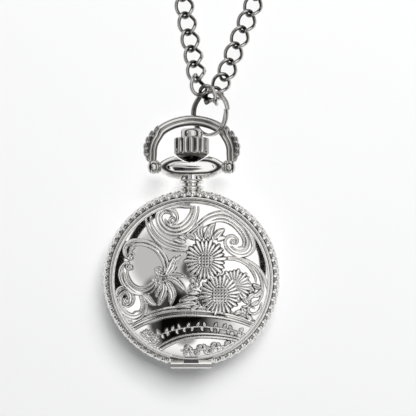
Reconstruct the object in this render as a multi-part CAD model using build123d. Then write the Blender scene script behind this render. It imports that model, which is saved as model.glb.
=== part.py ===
from build123d import *
from math import cos, pi, radians, sin, tan
import os

# A pendant watch lying on its back: millimetres, +Z up out of the front cover, +Y towards the crown.
# The origin is the middle of the back's flat, which rests on z = 0.

# case: heights
stem_height = 4.8
rim_height = 4.0
lid_crest_height = 9.9
seam_gap = 0.02
# case: radii
rim_radius = 13.75
rim_root_radius = 12.75
cover_radius = 12.3
bore_radius = 10.4
back_flat_radius = 7.0
back_wall = 0.7
neck_wall = 0.8
snap_neck_length = 0.6
gasket_width = 0.5
gasket_slack = 0.04
spring_channel_radius = 11.15
spring_channel_width = 0.5
spring_channel_depth = 0.9
spring_thickness = 0.2
spring_height = 0.6
lid_spring_half_angle = 50
catch_spring_half_angle = 35
catch_tail_width = 1.2
catch_tail_height = 1.15
catch_slot_slack = 0.1
pry_lip_width = 2.2
pry_lip_reach = 0.45
pry_lip_thickness = 0.4
pry_lip_angle = -60
# front cover
lid_wall = 0.6
lid_edge_height = 0.45
lid_cove_radius = 11.2
lid_cove_height = 1.4
lid_cove_share = 0.38
lid_inner_step = 0.15
lid_inner_slope_radius = 10.75
lid_inner_slope_height = 0.95
# cover hinge
hinge_reach = 0.85
hinge_drop = 0.2
knuckle_radius = 0.7
knuckle_gap = 0.05
lid_knuckle_length = 2.2
band_knuckle_length = 2.0
hinge_pin_radius = 0.35
running_gap = 0.03
hinge_leaf_thickness = 0.4
# crystal and bezel
bezel_inner_radius = 9.6
bezel_flange_radius = 10.95
bezel_height = 0.65
bezel_chamfer_width = 0.45
bezel_chamfer_height = 0.3
bezel_neck_length = 0.7
crystal_radius = 10.1
crystal_seat_height = 0.2
crystal_crown = 0.55
press_slack = 0.02
# dial and hands
dial_thickness = 0.4
dial_radius = 10.3
dial_bore_radius = 0.85
dial_top = 6.0
hand_gap = 0.14
hand_thickness = 0.1
hour_hand_length = 5.2
minute_hand_length = 7.8
second_hand_length = 8.2
hour_hand_width = 1.0
minute_hand_width = 0.8
second_hand_width = 0.28
hand_tail_length = 1.6
hand_tip_share = 0.12
hand_waist_share = 0.7
hand_hub_radius = 0.95
# arbors of the hands
hour_pipe_radius = 0.75
cannon_radius = 0.52
second_arbor_radius = 0.18
pipe_gap = 0.05
# movement: plates
movement_radius = 9.3
movement_length = 15.2
movement_width = 13.0
movement_bottom = 2.75
plate_thickness = 1.25
bridge_thickness = 0.3
bridge_low_y = -4.0
holder_depth = 2.0
holder_slack = 0.05
motion_recess_depth = 0.45
pillar_radius = 0.7
bridge_screw_radius = 0.35
bridge_screw_head_radius = 0.6
bridge_screw_length = 1.0
pillar_x = -5.6
pillar_upper_y = 4.3
pillar_lower_y = 0.4
pillar_right_x = 0.4
pillar_right_y = 5.5
# movement: train
train_arbor_radius = 0.15
train_pinion_radius = 0.3
wheel_thickness = 0.12
centre_wheel_radius = 1.9
second_wheel_radius = 1.95
third_wheel_radius = 1.85
drive_wheel_radius = 1.65
mesh_gap = 0.06
third_wheel_angle = 122
drive_wheel_angle = 216
rotor_radius = 0.95
rotor_height = 0.5
minute_wheel_radius = 1.7
minute_wheel_angle = 28
motion_pinion_radius = 0.6
hour_wheel_radius = 1.75
train_pinion_leaves = 6
drive_wheel_teeth = 36
second_wheel_teeth = 30
third_wheel_teeth = 45
centre_wheel_teeth = 48
cannon_pinion_leaves = 8
minute_wheel_teeth = 24
minute_pinion_leaves = 8
hour_wheel_teeth = 32
sliding_pinion_teeth = 16
tooth_depth_share = 0.88
# movement: heights above its bottom
second_wheel_lift = 0.6
drive_wheel_lift = 0.85
third_wheel_lift = 1.08
centre_wheel_lift = 1.3
# movement: electric pieces
battery_radius = 2.9
battery_height = 2.1
battery_x = 3.95
battery_y = -3.0
battery_step_share = 0.82
clamp_thickness = 0.15
clamp_width = 2.6
coil_radius = 0.9
coil_length = 5.0
coil_core_length = 6.2
coil_core_width = 1.2
coil_x = -3.4
coil_y = -5.0
stator_thickness = 0.4
stator_gap = 0.2
board_thickness = 0.3
board_left = 1.5
board_right = 6.6
board_low = 1.4
board_high = 5.6
quartz_radius = 0.6
quartz_length = 4.4
quartz_x = 4.2
quartz_y = 4.2
# setting stem
stem_radius = 0.5
stem_inner_end = 3.6
sliding_pinion_radius = 0.8
sliding_pinion_length = 1.0
sliding_pinion_start = 4.5
press_travel = 0.5
pull_travel = 0.8
# pendant neck and collar
neck_bore_radius = 0.85
spring_chamber_radius = 1.2
neck_plug_gap = 0.1
spring_chamber_floor = 13.9
neck_plug_radius = 1.38
neck_foot_radius = 1.9
neck_foot_start = 13.0
neck_foot_height = 0.45
neck_radius = 1.55
neck_bead_radius = 1.95
neck_bead_height = 0.7
neck_bead_low = 14.17
neck_bead_high = 15.14
pivot_y = 17.46
collar_half_width = 4.85
collar_radius = 2.0
collar_shoulder_x = 2.6
collar_shoulder_radius = 1.85
collar_cheek_x = 3.8
collar_cheek_radius = 1.5
collar_end_radius = 0.85
cup_gap = 0.15
# crown
crown_foot_y = 18.3
crown_foot_radius = 0.8
crown_shoulder_y = 19.35
crown_radius = 2.77
crown_knurl_low = 19.7
crown_knurl_high = 22.03
crown_edge = 0.18
crown_cap_radius = 1.73
crown_cap_top = 23.5
crown_cap_round = 0.6
crown_flutes = 16
flute_depth = 0.3
flute_floor_share = 0.3
flute_top_share = 0.8
# push sleeve, detent ring and crown spring
sleeve_inner_end = 11.75
sleeve_flange_y = 16.0
sleeve_flange_thickness = 0.35
detent_thickness = 0.5
crown_spring_turns = 3
crown_spring_wire = 0.16
# bow
bow_height = 8.25
bow_droop = 20.2
bow_top_radius = 8.0
bow_top_half_angle = 30
bow_side_radius = 5.2
bow_side_angle = 84
rail_offset = 0.38
rail_half_width = 0.5
rail_half_depth = 0.52
rail_flat = 0.2
rail_groove_depth = 0.22
washer_thickness = 0.2
washer_gap = 0.02
washer_radius = 0.8
knob_length = 1.85
knob_radius = 1.1
knob_waist_radius = 0.92
knob_tip_radius = 0.45
knob_end_radius = 0.2
bow_pin_radius = 0.42
bow_pin_seat = 1.3
bow_pin_reach = 1.3
# split ring
ring_radius = 3.45
ring_wire = 0.52
ring_turn_gap = 0.06
ring_turns = 2
ring_x = 2.9
ring_y = 26.2
ring_height = 2.85
ring_tilt = 39
ring_turn = 7
# curb chain
link_wire = 0.62
link_half_length = 1.78
link_half_width = 1.38
link_twist = 45
link_pitch = 2.85
link_steps = 12
wire_sides = 6
chain_height = 0.84
strap_width = 3.0
strap_height = 1.5
strap_edge = 0.35
strap_end_gap = 0.05
# put-away chain: an oval coil in two layers
coil_middle_x = 4.0
coil_middle_y = 78.0
coil_outer_radius = 18.3
coil_step = 3.6
coil_half_turns = 5
coil_straight = 14.0
coil_layer_gap = 0.45
clasp_offset = 7.3
# clasp
clasp_height = 1.7
clasp_thickness = 1.0
clasp_half_width = 2.1
clasp_hole_half_width = 1.35
clasp_hole_length = 4.4
clasp_tip_wall = 0.8
clasp_eye_radius = 1.15
clasp_eye_hole = 0.55
clasp_lever_width = 0.8
clasp_lever_gap = 0.06
clasp_pin_radius = 0.25
clasp_lever_swing = 25
clasp_lever_swing_steps = 4
thumb_length = 1.2
thumb_reach = 0.7
end_ring_radius = 1.75
end_ring_wire = 0.5
end_ring_tilt = 52
end_ring_seat_share = 0.57
# shared
overrun = 1.0

band_bottom = stem_height - rim_height / 2
band_top = stem_height + rim_height / 2
hinge_y = -(cover_radius + hinge_reach)
hinge_z = band_top - hinge_drop
lid_edge_top = band_top + seam_gap + lid_edge_height
dial_bottom = dial_top - dial_thickness
movement_top = dial_bottom
plate_bottom = movement_top - plate_thickness
crystal_bottom = band_top + crystal_seat_height
chain_top_layer = chain_height + strap_height + coil_layer_gap
plug_start = spring_channel_radius + spring_channel_width + neck_plug_gap


def turned(points):
    """A ring or disc about the vertical axis, from its half section as (radius, height)."""
    section = Polyline([(r, 0, z) for r, z in points], close=True)
    return revolve(make_face(section), Axis.Z)


def turned_edges(*edges):
    return revolve(make_face(Curve() + list(edges)), Axis.Z)


def across(radius, start, end, height=stem_height, x=0):
    """A rod along Y from start to end."""
    rod = Cylinder(radius, end - start, align=(Align.CENTER, Align.CENTER, Align.MIN))
    return Pos(x, start, height) * Rot(-90, 0, 0) * rod


def sideways(radius, start, end, y, z):
    """A rod along X from start to end."""
    rod = Cylinder(radius, end - start, align=(Align.CENTER, Align.CENTER, Align.MIN))
    return Pos(start, y, z) * Rot(0, 90, 0) * rod


def upright(radius, low, high, x=0, y=0):
    rod = Cylinder(radius, high - low, align=(Align.CENTER, Align.CENTER, Align.MIN))
    return Pos(x, y, low) * rod


def slab(left, right, near, far, low, high):
    size = (right - left, far - near, high - low)
    return Pos((left + right) / 2, (near + far) / 2, (low + high) / 2) * Box(*size)


def arc_strip(radius, thickness, low, high, middle_angle, half_angle):
    """A flat spring bent to a circle, lying on edge."""
    points = []
    for side in (-1, 0, 1):
        angle = radians(middle_angle + side * half_angle)
        points.append((cos(angle), sin(angle)))
    inner = [(radius * c, radius * s) for c, s in points]
    outer = [((radius + thickness) * c, (radius + thickness) * s) for c, s in points]
    section = Curve() + [
        ThreePointArc(*inner),
        Line(inner[2], outer[2]),
        ThreePointArc(*reversed(outer)),
        Line(outer[0], inner[0]),
    ]
    return Pos(0, 0, low) * extrude(make_face(section), high - low)


# case


def rim_arc():
    low = (rim_root_radius, 0, band_bottom)
    middle = (rim_radius, 0, stem_height)
    return ThreePointArc(low, middle, (rim_root_radius, 0, band_top))


def knuckle(start, end, radius):
    return sideways(radius, start, end, hinge_y, hinge_z)


def band_knuckles(radius):
    near = lid_knuckle_length / 2 + knuckle_gap
    far = near + band_knuckle_length
    return [knuckle(near, far, radius), knuckle(-far, -near, radius)]


def case_band():
    inner_low = (bore_radius, 0, band_bottom)
    inner_high = (bore_radius, 0, band_top)
    band = turned_edges(
        Line(inner_low, (rim_root_radius, 0, band_bottom)),
        rim_arc(),
        Line((rim_root_radius, 0, band_top), inner_high),
        Line(inner_high, inner_low),
    )
    groove_top = band_bottom + gasket_width
    groove_radius = bore_radius + gasket_width
    band -= turned([
        (bore_radius - overrun, band_bottom - overrun),
        (groove_radius, band_bottom - overrun),
        (groove_radius, groove_top),
        (bore_radius - overrun, groove_top),
    ])
    channel_floor = band_top - spring_channel_depth
    channel_outer = spring_channel_radius + spring_channel_width
    band -= turned([
        (spring_channel_radius, channel_floor),
        (channel_outer, channel_floor),
        (channel_outer, band_top + overrun),
        (spring_channel_radius, band_top + overrun),
    ])
    half = catch_tail_width / 2 + catch_slot_slack
    slot_floor = channel_floor + spring_height - catch_tail_height - catch_slot_slack
    band -= slab(-half, half, spring_channel_radius, channel_outer, slot_floor, band_top)
    band -= across(neck_bore_radius, bore_radius - overrun, plug_start)
    band -= across(neck_plug_radius, plug_start, rim_radius + overrun)
    band -= across(neck_foot_radius, neck_foot_start, rim_radius + overrun)
    for piece in band_knuckles(knuckle_radius):
        band += piece
    notch = lid_knuckle_length / 2 + knuckle_gap
    band -= knuckle(-notch, notch, knuckle_radius + knuckle_gap)
    full = notch + band_knuckle_length + overrun
    return band - knuckle(-full, full, hinge_pin_radius)


def hinge_pin():
    reach = lid_knuckle_length / 2 + knuckle_gap + band_knuckle_length
    return knuckle(-reach, reach, hinge_pin_radius)


def lid():
    bottom = band_top + seam_gap
    crest = lid_crest_height
    edge_low = (cover_radius, 0, bottom)
    edge_high = (cover_radius, 0, lid_edge_top)
    rise = lid_cove_height - lid_edge_height
    cove_end = (lid_cove_radius, 0, lid_edge_top + rise)
    cove_middle = (
        lid_cove_radius + (cover_radius - lid_cove_radius) * lid_cove_share,
        0,
        lid_edge_top + rise * lid_cove_share,
    )
    wall_radius = cover_radius - lid_wall
    inner_low = (wall_radius, 0, bottom)
    inner_step = (wall_radius, 0, bottom + lid_inner_step)
    slope_end = (lid_inner_slope_radius, 0, bottom + lid_inner_slope_height)
    inner_crest = (0, 0, crest - lid_wall)
    outer_crest = (0, 0, crest)
    cap = turned_edges(
        Line(inner_low, edge_low),
        Line(edge_low, edge_high),
        ThreePointArc(edge_high, cove_middle, cove_end),
        level_arc(cove_end, outer_crest),
        Line(outer_crest, inner_crest),
        level_arc(inner_crest, slope_end, from_crest=True),
        Line(slope_end, inner_step),
        Line(inner_step, inner_low),
    )
    half = lid_knuckle_length / 2
    leaf_low = band_top + knuckle_gap
    leaf = slab(-half, half, hinge_y, -wall_radius, leaf_low, leaf_low + hinge_leaf_thickness)
    cap += leaf + knuckle(-half, half, knuckle_radius)
    return cap - knuckle(-half - overrun, half + overrun, hinge_pin_radius + running_gap)


def level_arc(start, end, from_crest=False):
    """The arc of a shallow dome, level where it meets the vertical axis."""
    if from_crest:
        return TangentArc(start, end, tangent=(1, 0, 0))
    return TangentArc(start, end, tangent=(1, 0, 0), tangent_from_first=False)


def lid_spring():
    radius = spring_channel_radius + (spring_channel_width - spring_thickness) / 2
    low = band_top - spring_channel_depth
    return arc_strip(
        radius, spring_thickness, low, low + spring_height, -90, lid_spring_half_angle
    )


def catch_spring():
    radius = spring_channel_radius + (spring_channel_width - spring_thickness) / 2
    low = band_top - spring_channel_depth
    strip = arc_strip(
        radius, spring_thickness, low, low + spring_height, 90, catch_spring_half_angle
    )
    half = catch_tail_width / 2
    tail_low = low + spring_height - catch_tail_height
    tail = slab(-half, half, radius, radius + spring_thickness, tail_low, low + spring_height)
    return strip + tail


def back_cover():
    neck_outer = bore_radius - press_slack
    neck_inner = neck_outer - neck_wall
    neck_top = band_bottom + snap_neck_length
    edge_low = band_bottom - pry_lip_thickness
    outer_bend = (back_flat_radius, 0, 0)
    edge = (cover_radius, 0, edge_low)
    bend_middle = (
        (back_flat_radius + cover_radius) / 2 + back_wall / 2,
        0,
        edge_low / 2 - back_wall / 2,
    )
    floor_edge = (back_flat_radius, 0, back_wall)
    inner_edge = (neck_inner, 0, edge_low)
    inner_middle = (
        (back_flat_radius + neck_inner) / 2 + back_wall / 4,
        0,
        (edge_low + back_wall) / 2 - back_wall / 4,
    )
    cover = turned_edges(
        Line((0, 0, 0), outer_bend),
        ThreePointArc(outer_bend, bend_middle, edge),
        Line(edge, (cover_radius, 0, band_bottom)),
        Line((cover_radius, 0, band_bottom), (neck_outer, 0, band_bottom)),
        Line((neck_outer, 0, band_bottom), (neck_outer, 0, neck_top)),
        Line((neck_outer, 0, neck_top), (neck_inner, 0, neck_top)),
        Line((neck_inner, 0, neck_top), inner_edge),
        ThreePointArc(inner_edge, inner_middle, floor_edge),
        Line(floor_edge, (0, 0, back_wall)),
        Line((0, 0, back_wall), (0, 0, 0)),
    )
    start = cover_radius - back_wall
    half = pry_lip_width / 2
    lip = slab(start, cover_radius + pry_lip_reach, -half, half, edge_low, band_bottom)
    return cover + Rot(0, 0, pry_lip_angle) * lip


def back_gasket():
    inner = bore_radius + gasket_slack
    outer = bore_radius + gasket_width - gasket_slack
    top = band_bottom + gasket_width - gasket_slack
    return turned([(inner, band_bottom), (outer, band_bottom), (outer, top), (inner, top)])


def bezel():
    neck = bore_radius - press_slack
    bore = crystal_radius + press_slack
    top = band_top + bezel_height
    return turned([
        (bezel_inner_radius, band_top - bezel_neck_length),
        (neck, band_top - bezel_neck_length),
        (neck, band_top),
        (bezel_flange_radius, band_top),
        (bezel_flange_radius, top - bezel_chamfer_height),
        (bezel_flange_radius - bezel_chamfer_width, top),
        (bore, top),
        (bore, crystal_bottom),
        (bezel_inner_radius, crystal_bottom),
    ])


def crystal():
    edge_top = band_top + bezel_height
    low = (crystal_radius, 0, crystal_bottom)
    high = (crystal_radius, 0, edge_top)
    crest = (0, 0, edge_top + crystal_crown)
    return turned_edges(
        Line((0, 0, crystal_bottom), low),
        Line(low, high),
        level_arc(high, crest),
        Line(crest, (0, 0, crystal_bottom)),
    )


# dial, hands and their wheels


def dial():
    return upright(dial_radius, dial_bottom, dial_top) - upright(
        dial_bore_radius, dial_bottom - overrun, dial_top + overrun
    )


def hand(length, width, level, hub_radius, bore, angle):
    """A leaf-shaped hand with a tail, pointing to angle, clockwise from twelve."""
    waist = width * hand_waist_share / 2
    tip = width * hand_tip_share
    belly = length * hand_waist_share
    outline = Polyline(
        [
            (-waist / 2, -hand_tail_length),
            (waist / 2, -hand_tail_length),
            (waist, 0),
            (waist / 2, hub_radius),
            (width / 2, belly),
            (tip, length),
            (-tip, length),
            (-width / 2, belly),
            (-waist / 2, hub_radius),
            (-waist, 0),
        ],
        close=True,
    )
    blade = extrude(make_face(outline), hand_thickness) + Pos(0, 0, hand_thickness / 2) * Cylinder(
        hub_radius, hand_thickness
    )
    blade -= Cylinder(bore, overrun)
    return Pos(0, 0, level) * Rot(0, 0, -angle) * blade


hour_hand_level = dial_top + hand_gap
minute_hand_level = hour_hand_level + hand_thickness + hand_gap
second_hand_level = minute_hand_level + hand_thickness + hand_gap
hour_hand_angle = 305
minute_hand_angle = 50
second_hand_angle = 180


def toothed(radius, teeth, low, thickness, bore=0):
    """A wheel or pinion whose tips reach radius."""
    points = []
    for k in range(teeth):
        for turn_share, radius_share in ((0.25, 1), (0.75, tooth_depth_share)):
            angle = 2 * pi * (k + turn_share) / teeth
            reach = radius * radius_share
            points.append((reach * cos(angle), reach * sin(angle)))
    wheel = extrude(make_face(Polyline(points, close=True)), thickness)
    if bore:
        wheel -= Cylinder(bore, overrun * 4)
    return Pos(0, 0, low) * wheel


recess_floor = movement_top - motion_recess_depth
motion_wheel_low = recess_floor + pipe_gap
hour_wheel_low = motion_wheel_low + wheel_thickness + pipe_gap
minute_wheel_distance = motion_pinion_radius + minute_wheel_radius + mesh_gap


def hour_wheel():
    bore = cannon_radius + pipe_gap
    wheel = toothed(hour_wheel_radius, hour_wheel_teeth, hour_wheel_low, wheel_thickness)
    wheel += upright(hour_pipe_radius, hour_wheel_low, hour_hand_level + hand_thickness)
    return wheel - upright(bore, recess_floor, second_hand_level)


def cannon_pinion():
    bore = second_arbor_radius + pipe_gap
    pinion = toothed(
        motion_pinion_radius, cannon_pinion_leaves, motion_wheel_low, wheel_thickness
    )
    pinion += upright(cannon_radius, motion_wheel_low, minute_hand_level + hand_thickness)
    return pinion - upright(bore, recess_floor, second_hand_level)


def placed(piece, distance, angle):
    return Pos(distance * cos(radians(angle)), distance * sin(radians(angle)), 0) * piece


def minute_wheel():
    wheel = toothed(minute_wheel_radius, minute_wheel_teeth, motion_wheel_low, wheel_thickness)
    pinion_low = motion_wheel_low + wheel_thickness
    pinion_radius = minute_wheel_distance - hour_wheel_radius - mesh_gap
    wheel += toothed(
        pinion_radius, minute_pinion_leaves, pinion_low, pipe_gap + wheel_thickness
    )
    wheel += upright(train_arbor_radius, recess_floor - motion_recess_depth, motion_wheel_low)
    return placed(wheel, minute_wheel_distance, minute_wheel_angle)


second_wheel_low = movement_bottom + second_wheel_lift
drive_wheel_low = movement_bottom + drive_wheel_lift
third_wheel_low = movement_bottom + third_wheel_lift
centre_wheel_low = movement_bottom + centre_wheel_lift
drive_distance = second_wheel_radius + train_pinion_radius + mesh_gap
rotor_distance = drive_distance + drive_wheel_radius + train_pinion_radius + mesh_gap
third_distance = centre_wheel_radius + train_pinion_radius + mesh_gap


def train_pinion(low, high):
    return toothed(train_pinion_radius, train_pinion_leaves, low, high - low)


def second_wheel():
    wheel = toothed(second_wheel_radius, second_wheel_teeth, second_wheel_low, wheel_thickness)
    wheel += train_pinion(third_wheel_low - pipe_gap, third_wheel_low + wheel_thickness)
    return wheel + upright(
        second_arbor_radius, movement_bottom, second_hand_level + hand_thickness
    )


def third_wheel():
    wheel = toothed(third_wheel_radius, third_wheel_teeth, third_wheel_low, wheel_thickness)
    wheel += train_pinion(third_wheel_low, centre_wheel_low + wheel_thickness)
    wheel += upright(train_arbor_radius, movement_bottom, plate_bottom + bridge_thickness)
    return placed(wheel, third_distance, third_wheel_angle)


def drive_wheel():
    wheel = toothed(drive_wheel_radius, drive_wheel_teeth, drive_wheel_low, wheel_thickness)
    wheel += train_pinion(second_wheel_low, drive_wheel_low)
    wheel += upright(train_arbor_radius, movement_bottom, plate_bottom + bridge_thickness)
    return placed(wheel, drive_distance, drive_wheel_angle)


def centre_wheel():
    return toothed(
        centre_wheel_radius,
        centre_wheel_teeth,
        centre_wheel_low,
        wheel_thickness,
        second_arbor_radius + pipe_gap,
    )


def rotor():
    magnet_low = drive_wheel_low + wheel_thickness + pipe_gap
    piece = upright(rotor_radius, magnet_low, magnet_low + rotor_height)
    piece += train_pinion(drive_wheel_low, magnet_low)
    piece += upright(train_arbor_radius, movement_bottom, plate_bottom + bridge_thickness)
    return placed(piece, rotor_distance, drive_wheel_angle)


# movement


def movement_outline(grow=0):
    return Circle(movement_radius + grow) & Rectangle(
        movement_length + 2 * grow, movement_width + 2 * grow
    )


def pillar_places():
    return [
        (pillar_x, pillar_upper_y),
        (pillar_x, pillar_lower_y),
        (pillar_right_x, pillar_right_y),
    ]


def pivot_holes(low, high):
    """Bores for the arbors of the third wheel, the drive wheel and the rotor."""
    hole = upright(train_arbor_radius + running_gap, low, high)
    return [
        placed(hole, third_distance, third_wheel_angle),
        placed(hole, drive_distance, drive_wheel_angle),
        placed(hole, rotor_distance, drive_wheel_angle),
    ]


def main_plate():
    plate = Pos(0, 0, plate_bottom) * extrude(movement_outline(), plate_thickness)
    bridge_top = movement_bottom + bridge_thickness
    for x, y in pillar_places():
        plate += upright(pillar_radius, bridge_top, plate_bottom, x, y)
        plate -= upright(bridge_screw_radius, bridge_top, bridge_top + bridge_screw_length, x, y)
    plate -= upright(hour_wheel_radius + mesh_gap, recess_floor, movement_top + overrun)
    minute_hole = upright(minute_wheel_radius + mesh_gap, recess_floor, movement_top + overrun)
    plate -= placed(minute_hole, minute_wheel_distance, minute_wheel_angle)
    arbor_hole = upright(
        train_arbor_radius + running_gap, recess_floor - motion_recess_depth, movement_top
    )
    plate -= placed(arbor_hole, minute_wheel_distance, minute_wheel_angle)
    plate -= upright(second_arbor_radius + pipe_gap, plate_bottom - overrun, movement_top)
    for hole in pivot_holes(plate_bottom - overrun, plate_bottom + bridge_thickness):
        plate -= hole
    plate -= upright(
        battery_radius + holder_slack, plate_bottom - overrun, movement_top + overrun,
        battery_x, battery_y,
    )
    stem_bore_end = stem_inner_end - press_travel - mesh_gap
    plate -= across(stem_radius + pipe_gap, stem_bore_end, movement_width)
    half = sliding_pinion_radius + mesh_gap
    pocket_near = sliding_pinion_start - press_travel - mesh_gap
    pocket_far = sliding_pinion_start + sliding_pinion_length + pull_travel + mesh_gap
    plate -= slab(-half, half, pocket_near, pocket_far, stem_height - half, movement_top + overrun)
    core = coil_core_width / 2 + holder_slack
    reach = coil_core_length / 2 + holder_slack
    plate -= slab(
        coil_x - reach, coil_x + reach, coil_y - coil_radius - holder_slack,
        coil_y + coil_radius + holder_slack, plate_bottom - overrun, coil_height + coil_radius + core,
    )
    quartz_half = quartz_length / 2 + holder_slack
    quartz_reach = quartz_radius + holder_slack
    plate -= slab(
        quartz_x - quartz_half, quartz_x + quartz_half, quartz_y - quartz_reach,
        quartz_y + quartz_reach, plate_bottom - overrun, quartz_height + quartz_reach,
    )
    return plate


coil_height = plate_bottom - mesh_gap - stator_thickness * 1.5
board_low_height = movement_bottom
quartz_height = board_low_height + board_thickness + quartz_radius + mesh_gap


def train_bridge():
    low, high = movement_bottom, movement_bottom + bridge_thickness
    battery_hole = Pos(battery_x, battery_y) * Circle(battery_radius + coil_core_width)
    left = Pos(-movement_length / 2, 0) * Rectangle(
        movement_length + 2 * pillar_right_x + 2 * pillar_radius, movement_width
    )
    outline = (movement_outline() & left) - battery_hole
    bridge = Pos(0, 0, low) * extrude(outline, bridge_thickness)
    bridge -= slab(
        -movement_length, movement_length, -movement_width, bridge_low_y, low - overrun, high + overrun
    )
    bridge -= upright(second_arbor_radius + running_gap, low - overrun, high + overrun)
    for hole in pivot_holes(low - overrun, high + overrun):
        bridge -= hole
    for x, y in pillar_places():
        bridge -= upright(bridge_screw_radius + running_gap, low - overrun, high + overrun, x, y)
    return bridge


def bridge_screws():
    low = movement_bottom
    screws = []
    for x, y in pillar_places():
        head = upright(bridge_screw_head_radius, low - clamp_thickness, low, x, y)
        top = low + bridge_thickness + bridge_screw_length
        screws.append(head + upright(bridge_screw_radius, low, top, x, y))
    return screws


def movement_holder():
    low, high = movement_top - holder_depth, movement_top
    ring = upright(dial_radius, low, high)
    ring -= Pos(0, 0, low - overrun) * extrude(
        movement_outline(holder_slack), high - low + 2 * overrun
    )
    half = sliding_pinion_radius
    return ring - slab(-half, half, 0, bore_radius + overrun, stem_height - half, high + overrun)


def battery():
    step = battery_height * battery_step_share
    low = movement_bottom + mesh_gap
    cell = upright(battery_radius, low + battery_height - step, low + battery_height)
    cell += upright(battery_radius * battery_step_share, low, low + battery_height)
    return Pos(battery_x, battery_y, 0) * cell


def battery_clamp():
    low = movement_bottom - clamp_thickness
    strip = slab(
        battery_x - battery_radius / 2, battery_x + battery_radius / 2,
        battery_y - clamp_width / 2, battery_y + clamp_width / 2, low, movement_bottom,
    )
    foot_far = board_low + clamp_width / 2
    arm = slab(
        battery_x - clamp_width / 2, battery_x, battery_y, foot_far, low, movement_bottom
    )
    return strip + arm


def drive_coil():
    start, end = coil_x - coil_length / 2, coil_x + coil_length / 2
    winding = sideways(coil_radius, start, end, coil_y, coil_height)
    core = slab(
        coil_x - coil_core_length / 2, coil_x + coil_core_length / 2,
        coil_y - coil_core_width / 2, coil_y + coil_core_width / 2,
        coil_height - stator_thickness / 2, coil_height + stator_thickness / 2,
    )
    return winding + core


def stator():
    low = coil_height + stator_thickness / 2
    rotor_x = rotor_distance * cos(radians(drive_wheel_angle))
    rotor_y = rotor_distance * sin(radians(drive_wheel_angle))
    half = coil_core_length / 2
    top = rotor_y + rotor_radius + stator_gap + coil_core_width / 2
    bottom = rotor_y - rotor_radius - stator_gap - coil_core_width / 4
    plate = slab(coil_x - half, coil_x + half, bottom, top, low, low + stator_thickness)
    leg = (coil_core_length - coil_length) / 2 - mesh_gap
    for side in (-1, 1):
        inner = coil_x + side * (half - leg)
        outer = coil_x + side * half
        plate += slab(
            min(inner, outer), max(inner, outer), coil_y, bottom, low, low + stator_thickness
        )
    plate -= upright(rotor_radius + stator_gap, low - overrun, low + overrun, rotor_x, rotor_y)
    plate -= upright(centre_wheel_radius + mesh_gap, low - overrun, low + overrun)
    arbor_hole = upright(train_pinion_radius, low - overrun, low + overrun)
    return plate - placed(arbor_hole, drive_distance, drive_wheel_angle)


def circuit_board():
    return slab(
        board_left, board_right, board_low, board_high,
        board_low_height, board_low_height + board_thickness,
    )


def quartz_can():
    half = quartz_length / 2
    return sideways(quartz_radius, quartz_x - half, quartz_x + half, quartz_y, quartz_height)


# stem, crown and pendant


def turned_about_stem(*edges):
    """A piece turned about the stem's axis, from its half section as (radius, y)."""
    section = make_face(Curve() + list(edges))
    return Pos(0, 0, stem_height) * revolve(section, Axis.Y)


def outline(points):
    return [Line(a, b) for a, b in zip(points, points[1:])]


def stem():
    return across(stem_radius, stem_inner_end, crown_foot_y)


def sliding_pinion():
    disc = toothed(sliding_pinion_radius, sliding_pinion_teeth, 0, sliding_pinion_length)
    disc -= Cylinder(stem_radius, overrun * 4)
    return Pos(0, sliding_pinion_start, stem_height) * Rot(-90, 0, 0) * disc


def crown_outline(grow=0, drop=0):
    """The crown's half section, grown by a gap and lowered by its travel to cut the cup."""
    foot = crown_foot_y - drop - grow
    shoulder_y = crown_shoulder_y - drop
    knurl_low = crown_knurl_low - drop
    knurl = crown_radius + grow
    foot_radius = crown_foot_radius + grow
    shoulder_radius = knurl - crown_edge * 2
    middle = (
        (foot_radius + shoulder_radius) / 2 + crown_edge,
        (foot + shoulder_y) / 2 - crown_edge,
    )
    under = ThreePointArc((foot_radius, foot), middle, (shoulder_radius, shoulder_y))
    return foot, under, (shoulder_radius, shoulder_y), (knurl, knurl_low)


def crown():
    foot, under, shoulder, knurl_low = crown_outline()
    cap_low = crown_knurl_high + crown_edge / 2
    cap_side = (crown_cap_radius, crown_cap_top - crown_cap_round)
    cap_top = (crown_cap_radius - crown_cap_round, crown_cap_top)
    upper = outline([
        shoulder,
        knurl_low,
        (crown_radius, crown_knurl_high - crown_edge),
        (crown_radius - crown_edge, crown_knurl_high),
        (crown_cap_radius + crown_edge, cap_low),
        (crown_cap_radius, cap_low + crown_edge),
        cap_side,
    ])
    rounding = RadiusArc(cap_side, cap_top, -crown_cap_round)
    inside = outline([cap_top, (0, crown_cap_top), (0, foot), (crown_foot_radius, foot)])
    body = turned_about_stem(under, *upper, rounding, *inside)
    points = []
    for k in range(crown_flutes):
        for turn_share, inside in ((0, 1), (flute_floor_share, 1), (0.5, 0), (flute_top_share, 0)):
            angle = 2 * pi * (k + turn_share) / crown_flutes
            reach = crown_radius + overrun if not inside else crown_radius - flute_depth
            points.append((reach * cos(angle), reach * sin(angle)))
    flutes = extrude(make_face(Polyline(points, close=True)), crown_knurl_high - crown_edge - foot)
    keep = Pos(0, foot, stem_height) * Rot(-90, 0, 0) * flutes
    cap_start = crown_knurl_high - crown_edge
    keep += across(crown_radius + overrun, cap_start, crown_cap_top + overrun)
    body = body & keep
    return body


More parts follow.
